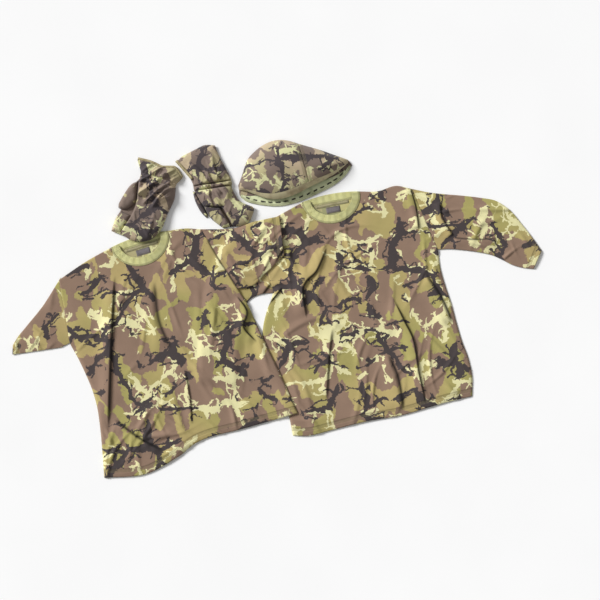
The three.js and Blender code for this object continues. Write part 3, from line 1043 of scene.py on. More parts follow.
# painted shadow: the dark of the cap's mouth, seen in slots between stitches
MOUTH_SHADOW_COLOUR = linear(62, 60, 52)
STITCH_LENGTH = 4.2 * MM


class Groups:
    """The shader groups that the finishes share, made once."""

    def __init__(self) -> None:
        """Builds the three groups."""
        self.camouflage = camouflage_group()
        self.cloth = cloth_group()
        self.stitches = stitch_group()


GROUPS = Groups()


@dataclass(frozen=True)
class Finish:
    """A cloth finish. Subclasses say what colours it before the shared cloth surface is added.

    Pitch is the knit's column width, relief its height, inset the distance of the stitches from the
    edge (none if 0) and gap the distance between their two lines.
    """

    name: str
    slot: Slot
    pitch: float = 1.6 * MM
    fade: float = 0.35
    sheen: float = 0.12
    relief: float = 0.22 * MM
    inset: float = 0.0
    gap: float = 3.5 * MM

    def colour(self, tree: Tree, place: Socket) -> Socket:
        """The colour before fade; plain grey unless a subclass says otherwise."""
        return tree.add("RGB").outputs[0]

    def extra_height(self, tree: Tree, place: Socket) -> Socket | None:
        """A height of the finish's own, added to the cloth's."""
        return None

    def material(self) -> bpy.types.Material:
        """Makes the material: colour, fade and knit, painted shade at fold feet and stitch dips, stitches
        beside the edge, and bump.

        Returns:
            The material.
        """
        made = bpy.data.materials.new(self.name)
        made.use_nodes = True
        made.node_tree.nodes.clear()
        tree = Tree(made.node_tree)
        place = tree.add("UVMap", uv_map="cloth").outputs[0]
        inputs = {"Vector": place, "Color": self.colour(tree, place)}
        surface = tree.group(GROUPS.cloth, inputs | {"Pitch": self.pitch, "Fade": self.fade})
        colour, height = surface.outputs["Color"], surface.outputs["Height"]
        # painted shade: the colour goes almost black at the foot of folds, where their shadow would fall
        painted_fold_shade = tree.add("Attribute", attribute_name="painted_fold_shade").outputs["Fac"]
        colour = tree.mix(tree.math("MULTIPLY", painted_fold_shade, 0.97), colour, FOLD_SHADE_COLOUR)
        own = self.extra_height(tree, place)
        if own is not None:
            height = tree.math("ADD", height, own)
        if self.inset:
            edge = tree.add("UVMap", uv_map="seam").outputs[0]
            values = {"Vector": edge, "Inset": self.inset, "Gap": self.gap, "Length": STITCH_LENGTH}
            stitches = tree.group(GROUPS.stitches, values).outputs
            # painted shade: the cloth darkens in the dips beside the stitches, where shadow would fall
            colour = tree.mix(tree.math("MULTIPLY", stitches["Dip"], 0.24), colour, PAINTED_DIP_SHADE)
            colour = tree.mix(tree.math("MULTIPLY", stitches["Thread"], 0.6), colour, THREAD)
            height = tree.math("ADD", height, tree.math("MULTIPLY", stitches["Height"], 3.0))
        bump = tree.add("Bump", {"Height": height, "Distance": self.relief, "Strength": 1.0})
        values = {
            "Base Color": colour,
            "Roughness": surface.outputs["Roughness"],
            "Normal": bump.outputs[0],
            "Sheen Weight": self.sheen,
            "Sheen Roughness": 0.55,
            "Specular IOR Level": 0.25,
        }
        shader = tree.add("BsdfPrincipled", values)
        tree.add("OutputMaterial", {"Surface": shader.outputs[0]})
        return made


@dataclass(frozen=True)
class Printed(Finish):
    """Cloth with the four-colour print, its seed saying where and its zoom how small it is."""

    palette: Palette = JERSEY
    seed: float = 0.0
    reverse: float = 0.0
    zoom: float = 1.0

    def colour(self, tree: Tree, place: Socket) -> Socket:
        """The print, paler where it is seen from the cloth's wrong side.

        Args:
            tree: the material's tree.
            place: the cloth's place.

        Returns:
            The colour.
        """
        p = self.palette
        place = tree.vector("MULTIPLY", place, (self.zoom, self.zoom, 1.0))
        inputs = {"Vector": place, "Seed": self.seed, "Khaki": p.khaki, "Brown": p.brown}
        node = tree.group(GROUPS.camouflage, inputs | {"Dark": p.dark, "Light": p.light})
        if not self.reverse:
            return node.outputs["Color"]
        return tree.mix(self.reverse, node.outputs["Color"], WRONG_SIDE)


@dataclass(frozen=True)
class Plain(Finish):
    """Cloth of one dye, a little uneven, with ribs of a given pitch or slots of painted shadow along a line.
    """

    dye: Colour = linear(200, 195, 140)
    shadow: Colour = linear(170, 164, 112)
    ribs: float = 0.0
    # pitch of the slots of painted shadow, 0 for none
    slots: float = 0.0
    mouth_shadow_line: float = 0.0

    def colour(self, tree: Tree, place: Socket) -> Socket:
        """The dye, drifting at random towards its darker shadow tone in a low noise, with slots of painted
        shadow in a row if asked.

        Args:
            tree: the material's tree.
            place: the cloth's place.

        Returns:
            The colour.
        """
        drift = tree.noise(place, 35, 3).outputs[0]
        dyed = tree.mix(tree.edge(drift, 0.42, 0.72), self.dye, self.shadow)
        if not self.slots:
            return dyed
        # painted shadow: slots along a line stand for the shade inside the cap's mouth, seen between stitches
        moved = tree.vector("ADD", place, tree.wander(place, 90, (0.016, 0.006, 0.0), 2))
        parts = tree.add("SeparateXYZ", {0: moved}).outputs
        along = tree.edge(tree.math("PINGPONG", parts[0], self.slots / 2), 9 * MM, 5 * MM)
        across = tree.math("ABSOLUTE", tree.math("SUBTRACT", parts[1], self.mouth_shadow_line))
        slot = tree.math("MULTIPLY", along, tree.edge(across, 3.6 * MM, 1.8 * MM))
        return tree.mix(slot, dyed, MOUTH_SHADOW_COLOUR)

    def extra_height(self, tree: Tree, place: Socket) -> Socket | None:
        """Ribs across the band: a sine along the cloth's X.

        Args:
            tree: the material's tree.
            place: the cloth's place.

        Returns:
            The height, or nothing for cloth without ribs.
        """
        if not self.ribs:
            return None
        parts = tree.add("SeparateXYZ", {0: place}).outputs
        wave = tree.math("SINE", tree.math("MULTIPLY", parts[0], 2 * math.pi / self.ribs))
        return tree.math("MULTIPLY", wave, 2.0)


RIB_KNIT = Plain(
    "rib knit", Slot.RIB, pitch=1.1 * MM, relief=0.4 * MM, inset=1.6 * MM, gap=2 * MM, ribs=2.1 * MM,
    dye=linear(242, 240, 170), shadow=linear(234, 230, 154),
)
NECK_TAPE = Plain(
    "neck tape", Slot.TAPE, pitch=0.9 * MM, inset=1.4 * MM, gap=7 * MM, ribs=1.6 * MM,
    dye=linear(196, 188, 146), shadow=linear(168, 158, 112),
)
LABEL = Plain(
    "label", Slot.LABEL, pitch=0.6 * MM, inset=1.5 * MM, gap=16 * MM,
    dye=linear(126, 120, 122), shadow=linear(92, 88, 90),
)
CAP_HEM = Plain(
    "cap hem", Slot.HEM, pitch=0.8 * MM, inset=2 * MM, gap=5 * MM,
    dye=linear(206, 196, 158), shadow=linear(176, 158, 126),
)
# its slots are painted shadow of the cap's mouth
CAP_FACING = Plain(
    "cap facing", Slot.LINING, inset=2 * MM, slots=25 * MM, mouth_shadow_line=12 * MM,
    dye=linear(222, 228, 184), shadow=linear(176, 184, 138),
)
MITTEN_HEM = Plain(
    "mitten hem", Slot.HEM, pitch=0.8 * MM, inset=2 * MM,
    dye=linear(196, 182, 140), shadow=linear(160, 146, 108),
)
TWILL_PITCH = 0.8 * MM


# ---- garments ------------------------------------------------------------------------------

SPACING = 4 * MM  # between neighbouring points of a laid sheet
SHEET = 0.9 * MM  # one thickness of jersey
BACK_LIE = 1.3 * MM  # top of a shirt's back cloth over what it lies on
FRONT_LIE = 4.6 * MM  # top of a flat front over the same
SEAM_LIE = BACK_LIE + 1.3 * MM  # where the upper cloth meets the lower at a seam
HEM_DEPTH = 20 * MM
HEM_SOFT = 3 * MM  # over which a hem's step and groove are soft
CLEARANCE = 1.2 * MM  # between the upper shirt and the lower one
RISE_LIMIT = 16 * MM  # which no fold passes
COARSE_LOOP = 10 * MM  # spacing of outlines that distances are measured to
CUT_LOOP = 12 * MM  # spacing of outlines that flat sizes are measured on
LEAST_FILL = 0.301  # least share of its box that a cut piece of cloth fills
MATERIALS: dict[str, bpy.types.Material] = {}


def quarter(gap: Array, radius: float) -> Array:
    """0 on an edge, rising to 1 a radius inside it as the quarter circle sqrt(1 - (1 - d/r)^2)."""
    return np.sqrt(1 - (1 - np.clip(gap / radius, 0, 1)) ** 2)


def hem_rise(gap: Array, depth: float) -> Array:
    """What a turned hem adds to the height.

    One more sheet as far as its depth, less a Gaussian groove where it is sewn.

    Args:
        gap: distance from the hem's edge.
        depth: how deep the hem is.

    Returns:
        Heights, of the same shape as gap.
    """
    doubled = SHEET * (1 - smoothstep(depth - HEM_SOFT, depth + MM, gap))
    return doubled - SHEET * np.exp(-(((gap - depth) / HEM_SOFT) ** 2))


def settle(surface: Surface, name: str, finish: Finish, body: str, *nodes: str) -> bpy.types.Object:
    """Makes a piece from a closed surface, dresses it, and lets it stand for its frame nodes.

    Each finish's material is made once.

    Args:
        surface: the closed surface.
        name: the piece's name.
        finish: its finish.
        body: the body it rides on, or nothing for a piece that is left unattached.
        nodes: the frame nodes it stands for.

    Returns:
        The piece.
    """
    made = surface.facing_out().mesh(name)
    if finish.name not in MATERIALS:
        MATERIALS[finish.name] = finish.material()
    made.data.materials.append(MATERIALS[finish.name])
    if body:
        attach(made, body)
    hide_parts(*nodes)
    log.info("%s: %d triangles", name, len(surface.faces))
    return made


def declare(cut: Array, layers: int = 1) -> None:
    """Works out the width, length and used cloth of a sheet cut to its outline's box, and keeps none of them.

    Args:
        cut: (n, 2) outline in the garment's frame.
        layers: 2 for a sleeve, which is cut as one cloth and folded.
    """
    size = cut.max(0) - cut.min(0)
    x, y = cut.T
    area = abs((x * np.roll(y, -1) - np.roll(x, -1) * y).sum()) / 2
    width, length = float(size[0]) * layers, float(size[1])
    used = float(area) * layers
    used = min(max(used, LEAST_FILL * width * length), width * length)


class Band:
    """A strip between two long edges of a frame node, such as a rib or a tape."""

    STEP = 3.5 * MM
    RING = 24
    POWER = 0.55  # of the section's sine: below 1 is boxier, 1 an ellipse
    END = 2 * MM  # over which each end thins to END_SHARE
    END_SHARE = 0.4

    def __init__(self, node: str) -> None:
        """Takes the longest side of the node's outline and the one across from it.

        Args:
            node: the frame node's name.
        """
        outline = Outline.of(node)
        lengths = [run_lengths(side)[-1] for side in outline.sides]
        long = int(np.argmax(lengths))
        self.outer = outline.sides[long]
        self.inner = outline.sides[(long + 2) % 4][::-1]

    def surface(
        self,
        base: Callable[[Array], Array],
        lift: float,
        thickness: float,
        widen: tuple[float, float] = (0.0, 0.0),
    ) -> Surface:
        """The strip as a rounded solid.

        Each section is a flattened ring: across it runs the cosine of the ring's angle, and its
        height is half the thickness times the sine to a power. Its ends are closed.

        Args:
            base: height of what it lies on at places on the floor.
            lift: how far it lies over that.
            thickness: how thick it is.
            widen: how far it reaches past its outer and inner edge.

        Returns:
            The closed surface; its cloth X runs along the strip and its Y across it.
        """
        length = run_lengths(self.outer)[-1]
        rows = max(4, int(length / self.STEP))
        share = np.linspace(0, 1, rows)
        ring = np.linspace(0, 2 * np.pi, self.RING, endpoint=False)
        outer, inner = at_share(self.outer, share), at_share(self.inner, share)
        way = inner - outer
        width = np.maximum(np.linalg.norm(way, axis=1, keepdims=True), 1e-6)
        outer, inner = outer - way / width * widen[0], inner + way / width * widen[1]
        across = 0.5 - 0.5 * np.cos(ring)
        plan = outer[:, None] + (inner - outer)[:, None] * across[None, :, None]
        swell = np.sign(np.sin(ring)) * np.abs(np.sin(ring)) ** self.POWER * thickness / 2
        ends = smoothstep(0, self.END / length, np.minimum(share, 1 - share))[:, None]
        ends = ends * (1 - self.END_SHARE) + self.END_SHARE
        z = base(plan.reshape(-1, 2)).reshape(rows, -1) + lift + thickness / 2 + swell[None] * ends
        points = np.dstack([plan, z]).reshape(-1, 3)
        along = np.repeat(share[:, None] * length, len(ring), 1)
        cloth = np.dstack([along, width * across[None]]).reshape(-1, 2)
        return Surface(points, grid_faces(rows, len(ring), ring=True), cloth, cloth).capped(len(ring))


@dataclass
class Sleeve:
    """A sleeve of a shirt: its frame node, and whether it is left unattached, baked where it lies, instead of
    riding on the shirt's body.
    """

    node: str
    folds: bool = True
    cuff_hem: float = 18 * MM
    bend: float = 55 * MM
    step: float = 2.8 * MM
    ring: int = 140
    power: float = 0.6
    tuck: float = 7 * MM


@dataclass
class Shirt:
    """A shirt laid flat on its back: two body sheets, two sleeves, a ribbed collar, tape and label."""

    name: str
    relief: Relief
    sleeves: tuple[Sleeve, ...]
    seed: float
    lower: "Shirt | None" = None
    collar_rise: float = 9 * MM
    edge_round: float = 11 * MM
    zoom: float = 1.2
    frame: Frame2D = field(init=False)
    front: Outline = field(init=False)
    back: Outline = field(init=False)
    loops: dict[str, Array] = field(init=False)
    body_loop: Array = field(init=False)

    def __post_init__(self) -> None:
        """Reads the shirt's frame and outlines."""
        self.frame = Frame2D.of_collar(f"{self.name}_collar_back", self.collar_rise)
        down = -self.frame.axes()[1] - self.frame.axes()[0]
        self.front = Outline.of(f"{self.name}_front_panel", 6, tuple(down))
        self.back = Outline.of(f"{self.name}_back_panel", 6, tuple(down))
        self.loops = {s.node: Outline.of(s.node).loop(COARSE_LOOP) for s in self.sleeves}
        self.body_loop = self.front.loop(COARSE_LOOP)

    def ground(self, places: Array) -> Array:
        """Height of what the shirt lies on.

        Args:
            places: (m, 2) places on the floor.

        Returns:
            0 over the floor, or the lower shirt's top, from which it comes down to the floor.
        """
        if self.lower is None:
            return np.zeros(len(places))
        return self.lower.covered(places) * (self.lower.top(places) + CLEARANCE)

    def covered(self, places: Array) -> Array:
        """1 over the shirt's body and sleeves, falling to 0 from 2 to 36 mm outside them."""
        loops = (self.body_loop, *self.loops.values())
        return 1 - smoothstep(2 * MM, 36 * MM, np.min([outside_distance(places, p) for p in loops], 0))

    def hinge_calm(self, places: Array) -> Array:
        """How freely the cloth may rise: 0.3 on a fold joint's line, 1 from 32 mm away.

        A joint's line reaches 160 mm to either side of its place.

        Args:
            places: (m, 2) places on the floor.

        Returns:
            (m,) shares.
        """
        calm = np.ones(len(places))
        for joint in (j for j in frame["joints"] if j["parent"] == self.name and j["type"] == "hinge"):
            pos, axis = np.array(joint["pos_m"][:2]), np.array(joint["axis"][:2])
            off = places - pos
            side = np.abs(off[:, 0] * axis[1] - off[:, 1] * axis[0]) / np.linalg.norm(axis)
            near = np.abs(off @ axis) < 0.16
            calm = np.minimum(calm, np.where(near, 0.3 + 0.7 * smoothstep(4 * MM, 32 * MM, side), 1))
        return calm

    def top(self, places: Array) -> Array:
        """Height of the shirt's upper cloth where nothing rounds it off.

        Args:
            places: (m, 2) places on the floor.

        Returns:
            (m,) heights, the relief bent under its limit by a hyperbolic tangent.
        """
        rise = RISE_LIMIT * np.tanh(self.relief.rise(self.frame.local(places)) / RISE_LIMIT)
        return self.ground(places) + FRONT_LIE + rise * self.hinge_calm(places)

    def side_round(self, places: Array) -> Array:
        """0 at the body's side edges, 1 from edge_round inside them and wherever a sleeve begins.

        Args:
            places: (m, 2) places on the floor.

        Returns:
            (m,) shares, a quarter circle inside the edges.
        """
        left, right = self.front.sides[5], self.front.sides[1]
        gap = np.minimum(to_line(places, left)[0], to_line(places, right)[0])
        curve = quarter(gap, self.edge_round)
        near = np.min([outside_distance(places, loop) for loop in self.loops.values()], 0)
        return np.maximum(curve, 1 - smoothstep(4 * MM, 26 * MM, near))

    def hem(self, places: Array, outline: Outline) -> tuple[Array, Array]:
        """The seam map beside the body's hem, and what the hem adds to the height."""
        gap, _, along = to_line(places, outline.sides[0])
        return np.column_stack([along, gap]), hem_rise(gap, HEM_DEPTH)

    def panel(self, which: str, outline: Outline) -> Surface:
        """One body sheet over the lattice within its outline.

        Args:
            which: "front" or "back".
            outline: its edge.

        Returns:
            The closed sheet.
        """
        folds = tuple(self.frame.world(fold.path()) for fold in self.relief.folds)
        plan, faces = lattice(outline.loop(SPACING), SPACING, folds if which == "front" else ())
        seam, hem = self.hem(plan, outline)
        depth = np.zeros(len(plan))
        ground = self.ground(plan)
        if which == "back":
            z = ground + BACK_LIE + 0.3 * hem
        else:
            full = self.top(plan) - ground + hem
            near_hem = 1 - 0.45 * (1 - smoothstep(0, 16 * MM, seam[:, 1]))
            z = ground + SEAM_LIE + (full - SEAM_LIE) * self.side_round(plan) * near_hem
            # painted shade at the foot of the front's folds
            depth = self.relief.depth(self.frame.local(plan))
        surface = Surface(np.column_stack([plan, z]), faces, self.frame.local(plan), seam, depth)
        return surface.thickened(SHEET)

    def sleeve_sides(self, node: str) -> tuple[Array, ...]:
        """A sleeve's sides, starting with the one that runs out from the armpit.

        Args:
            node: the sleeve's frame node.

        Returns:
            The underarm side, the cuff, the upper side and the armhole, end to end.
        """
        outline = Outline.of(node)
        body = np.vstack([self.front.sides[1], self.front.sides[5]])
        corners = np.array([side[0] for side in outline.sides])
        near = [float(np.min(np.linalg.norm(body - c, axis=1))) for c in corners]
        pair = np.argsort(near)[:2]
        height = self.frame.local(corners)[:, 1]
        armpit = int(pair[np.argmin(height[pair])])
        sides = [outline.sides[(armpit + k) % 4] for k in range(4)]
        if (armpit + 1) % 4 in pair:
            sides = [side[::-1] for side in reversed(sides)]
        return tuple(sides)

    def tube(self, sleeve: Sleeve) -> tuple[Surface, Array, Array]:
        """A sleeve as a flattened tube.

        A point is patch(u, 0.5 - 0.5 cos a), with a running once round the tube. Its height is the
        seam's height plus the rise of the upper cloth, or less the drop of the lower one, times
        |sin a| to a power.

        Args:
            sleeve: which sleeve.

        Returns:
            The closed sheet, the armhole's middle and the unit direction from it along the sleeve.
        """
        sides = self.sleeve_sides(sleeve.node)
        outline = Outline(sides)
        length = run_lengths(sides[0])[-1]
        u = np.linspace(-sleeve.tuck / length, 1, int(length / sleeve.step) + 3)
        ring = np.linspace(0, 2 * np.pi, sleeve.ring, endpoint=False)
        uu, aa = (m.ravel() for m in np.meshgrid(u, ring, indexing="ij"))
        plan = outline.patch(uu, 0.5 - 0.5 * np.cos(aa))
        full = np.abs(np.sin(aa)) ** sleeve.power
        upper = np.sin(aa) >= 0
        ground = self.ground(plan)
        seam_gap, _, seam_along = to_line(plan, sides[1])
        tucked = np.where(uu < 0, CLEARANCE, 0.0)
        rise = (self.top(plan) - ground + hem_rise(seam_gap, sleeve.cuff_hem) - tucked - SEAM_LIE) * full
        drop = (SEAM_LIE - BACK_LIE + 0.2 * MM) * full
        z = ground + SEAM_LIE + np.where(upper, rise, -drop)
        local = self.frame.local(plan)
        cloth = local + np.where(upper, 0.0, 0.35)[:, None]
        seam = np.column_stack([seam_along, seam_gap])
        faces = grid_faces(len(u), len(ring), ring=True)[:, ::-1]
        # painted shade at the foot of folds, on the upper cloth only
        surface = Surface(np.column_stack([plan, z]), faces, cloth, seam, self.relief.depth(local) * upper)
        root = outline.patch(np.array([0.0]), np.array([0.5]))[0]
        edge = sides[3][-1] - sides[3][0]
        out = np.array([edge[1], -edge[0]]) / np.linalg.norm(edge)
        out = out * np.sign(out @ (sides[1].mean(0) - root))
        return surface.thickened(SHEET), root, out

    def print_of(self, name: str, depth: float, seed: float, reverse: float = 0.0) -> Printed:
        """The shirt's printed jersey, stitched just inside a hem of the given depth."""
        return Printed(name, Slot.CAMOUFLAGE, inset=depth - MM, seed=seed, reverse=reverse, zoom=self.zoom)

    def build(self) -> None:
        """Builds and dresses every piece of the shirt."""
        jersey = self.print_of(f"{self.name} print", HEM_DEPTH, self.seed)
        inner = self.print_of(f"{self.name} inside", HEM_DEPTH, self.seed + 4.0, 0.5)
        below = "floor" if self.lower is None else f"{self.lower.name}_front_cloth"
        layers = (("back", self.back, inner, below), ("front", self.front, jersey, f"{self.name}_back_cloth"))
        for which, outline, finish, rests_on in layers:
            node = f"{self.name}_{which}_panel"
            made = settle(self.panel(which, outline), f"{self.name}_{which}_cloth", finish, self.name, node)
            declare(self.frame.local(outline.loop(CUT_LOOP)))
        for number, sleeve in enumerate(self.sleeves, 1):
            surface, root, out = self.tube(sleeve)
            finish = self.print_of(f"{sleeve.node} print", sleeve.cuff_hem, self.seed + number)
            body = "" if sleeve.folds else self.name
            made = settle(surface, f"{sleeve.node}_cloth", finish, body, sleeve.node)
            if sleeve.folds:
                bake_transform(made)
            declare(self.frame.local(self.loops[sleeve.node]), layers=2)
        self.collar()

    def collar(self) -> None:
        """The ribbed collar's two halves, the tape on its back seam and the blank label."""
        lay = {
            "collar_back": (RIB_KNIT, self.ground, 0.2 * MM, 2.4 * MM, (1.5 * MM, 1.5 * MM)),
            "collar_front": (RIB_KNIT, self.top, -0.5 * MM, 2.4 * MM, (1.5 * MM, 0.0)),
            "neck_tape": (NECK_TAPE, self.ground, BACK_LIE + 0.3 * MM, 1.3 * MM),
            "neck_label": (LABEL, self.ground, BACK_LIE + 0.4 * MM, 0.8 * MM),
        }
        for part, (finish, *shape) in lay.items():
            node = f"{self.name}_{part}"
            settle(Band(node).surface(*shape), f"{node}_cloth", finish, self.name, node)


def long_shirt() -> Shirt:
    """The long-sleeved shirt, which lies lowest.

    Returns:
        The shirt.
    """
    folds = (
        Fold(((122, -354), (140, -430), (155, -497), (150, -600), (152, -700)), 6.5, 26, 3),
        Fold(((-46, -150), (-93, -217), (-130, -242), (-150, -275), (-155, -360)), 8, 24, 3),
        Fold(((248, -22), (252, -87), (246, -156)), 5, 16, 2.5, 0.08),
        Fold(((331, -84), (325, -136), (347, -200)), 5, 16, 2.5, 0.1),
        Fold(((346, -208), (415, -228), (482, -238)), 5, 20, 2.5, 0.1),
        Fold(((-238, -226), (-268, -253), (-300, -284)), 4, 10, 2),
        Fold(((-208, -248), (-247, -280), (-276, -300)), 4, 10, 2),
        Fold(((-83, -400), (-118, -510), (-149, -625)), 3, 24, 5),
        Fold(((60, -520), (75, -600), (70, -700)), 4, 30, 10),
        Fold(((230, -300), (262, -380), (280, -470)), 5, 26, 8),
    )
    creases = (
        Creases(11, 46, (-250, -690, 300, -60), 80, height=(0.6, 2.4)),
        Creases(12, 26, (300, -330, 590, -60), -25, length=(16, 50), height=(1.0, 3.2)),
        Creases(13, 12, (-240, -330, 20, -110), 55, height=(0.8, 2.2)),
    )
    sleeves = (
        Sleeve("long_shirt_right_sleeve"),
        Sleeve("long_shirt_left_sleeve", folds=False),
    )
    return Shirt("long_shirt", Relief(folds, creases, 1.6, 5), sleeves, seed=1.3)


def short_shirt(lower: Shirt) -> Shirt:
    """The short-sleeved shirt, which overlaps the long one.

    Args:
        lower: the shirt that it lies on.

    Returns:
        The shirt.
    """
    folds = (
        Fold(((-110, -85), (-150, -200), (-205, -360), (-265, -543)), 6.5, 26, 4),
        Fold(((252, -237), (225, -151), (203, -60)), 4, 9, 2, 0.08),
        Fold(((236, -262), (252, -318), (228, -362), (254, -420)), 6, 16, 2.5),
        Fold(((300, -236), (350, -222), (415, -196)), 3, 14, 2.5),
        Fold(((430, -110), (418, -160), (380, -196)), 3, 12, 2.5),
        Fold(((-240, -520), (-180, -600), (-120, -660)), 4, 22, 6),
        Fold(((-10, -140), (-30, -260), (-20, -360)), 3.5, 30, 12),
        Fold(((16, -431), (6, -520), (-12, -602)), 2.5, 14, 3),
    )
    creases = (
        Creases(21, 44, (-290, -670, 290, -60), 95, height=(0.6, 2.4)),
        Creases(22, 12, (-470, -250, -290, -70), 60, length=(16, 50), height=(0.8, 2.6)),
        Creases(23, 16, (240, -240, 430, -60), 30, length=(14, 46), height=(0.8, 3.0)),
        Creases(24, 12, (-280, -680, -60, -500), 30, height=(1.0, 3.2)),
    )
    sleeves = (Sleeve("short_shirt_right_sleeve"), Sleeve("short_shirt_left_sleeve"))
    return Shirt("short_shirt", Relief(folds, creases, 1.6, 9), sleeves, seed=6.2, lower=lower)


# ---- cap -----------------------------------------------------------------------------------


@dataclass
class Cap:
    """A soft cap on its side: crown panels, hem, lower half, facing and their seam."""

    loft: float = 42 * MM
    mouth: float = 12 * MM
    lie: float = 5.2 * MM
    seam: float = 0.62
    hem: float = 0.09
    turned: float = 12.0
    zoom: float = 1.45
    grid: tuple[int, int] = (90, 60)

    def frame(self) -> Frame2D:
        """The cap's frame, at the middle of its lower half."""
        low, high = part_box("cap_lower_front_panel")
        return Frame2D(((low.x + high.x) / 2, (low.y + high.y) / 2), self.turned)

    def floor(self, places: Array) -> Array:
        """Height of what the cap lies on."""
        return np.zeros(len(places))

    def dome(self, u: Array, v: Array) -> Array:
        """Height of the upper shell.

        Over its lie stand the open mouth's arch near the rim, sin pi u (1 - v), and the crown's loft,
        sqrt(sin pi u) (4 v (1 - v))^0.6, with low dents, the product of two sines.

        Args:
            u: shares along the rim.
            v: shares from the rim to the crown's back.

        Returns:
            Heights, of the same shape.
        """
        arch = np.sin(np.pi * np.clip(u, 0, 1))
        crown = np.sqrt(arch) * np.clip(4 * v * (1 - v), 0, 1) ** 0.6
        dent = 2.5 * MM * np.sin(7 * u + 5 * v) * np.sin(11 * v - 3 * u) * crown
        return self.lie + self.mouth * arch * (1 - v) + self.loft * crown + dent

    def shell(self, node: str, start: float, end: float, base: float, top: float) -> Surface:
        """A part of the upper shell.

        Args:
            node: its frame node.
            start: where it begins along the rim, as a share.
            end: where it ends.
            base: where it begins in the crown's depth, as a share.
            top: where it ends.

        Returns:
            The closed sheet, with a groove along the seam between the panels.
        """
        first = -self.frame().axes()[0] - self.frame().axes()[1]
        outline = Outline.of(node, 4, tuple(first))
        u = np.linspace(0, 1, self.grid[0])
        v = 0.5 - 0.5 * np.cos(np.linspace(0, np.pi, self.grid[1]))
        uu, vv = (m.ravel() for m in np.meshgrid(u, v, indexing="ij"))
        plan = outline.patch(uu, vv)
        z = self.dome(start + (end - start) * uu, base + (top - base) * vv)
        near = np.minimum(uu if start > 0 else 1 - uu, 1.0) * abs(end - start) * 0.36
        z = z - 1.6 * MM * np.exp(-((near / (2.5 * MM)) ** 2)) * (base < 0.5)
        seam = np.column_stack([vv * 0.12, near])
        faces = grid_faces(len(u), len(v))
        surface = Surface(np.column_stack([plan, z]), faces, self.frame().local(plan), seam)
        return surface.thickened(1.4 * MM)

    def lower_half(self, node: str) -> Surface:
        """A flat panel that lies on the floor.

        Args:
            node: its frame node.

        Returns:
            The closed sheet.
        """
        plan, faces = lattice(Outline.of(node).loop(SPACING), SPACING)
        z = np.full(len(plan), 1.5 * MM)
        surface = Surface(np.column_stack([plan, z]), faces, self.frame().local(plan), plan * 0 + 1)
        return surface.thickened(1.2 * MM)

    def cut(self, node: str) -> Array:
        """A panel's outline in the cap's frame."""
        return self.frame().local(Outline.of(node).loop(CUT_LOOP))

    def build(self) -> None:
        """Builds and dresses every piece of the cap."""
        common = {"pitch": TWILL_PITCH, "palette": TWILL, "zoom": self.zoom}
        twill = Printed("cap print", Slot.CAMOUFLAGE, seed=12.4, inset=5 * MM, **common)
        under = Printed("cap lower print", Slot.CAMOUFLAGE, seed=15.1, **common)
        uppers = (("cap_upper_front_panel", 0.0, self.seam), ("cap_upper_back_panel", self.seam, 1.0))
        for node, start, end in uppers:
            made = settle(self.shell(node, start, end, self.hem, 1.0), f"{node}_cloth", twill, "cap", node)
            declare(self.cut(node))
        rim = self.shell("cap_upper_hem", 0.0, 1.0, 0.0, self.hem)
        settle(rim, "cap_upper_hem_cloth", CAP_HEM, "cap", "cap_upper_hem")
        for node in ("cap_lower_front_panel", "cap_lower_back_panel"):
            made = settle(self.lower_half(node), f"{node}_cloth", under, "cap", node)
            declare(self.cut(node))
        strip = Band("cap_rim_facing").surface(self.floor, 2.0 * MM, 2.2 * MM)
        settle(strip, "cap_rim_facing_cloth", CAP_FACING, "cap", "cap_rim_facing")


# ---- mittens -------------------------------------------------------------------------------


@dataclass(frozen=True)
class Pad:
    """Heights of one part of a mitten.

    Low is its lower face, rim the height of its edge, loft what it is stuffed to, over radius inside
    its edge or, if shared, as the whole shell is. Folds is its share of the mitten's relief, groove
    the depth of its seams, and grow how far it reaches past its outline.
    """

    low: float = 3.6 * MM
    rim: float = 3.0 * MM
    loft: float = 15 * MM
    radius: float = 6 * MM
    folds: float = 1.0
    shared: bool = True
    groove: float = 0.0
    grow: float = 0.0


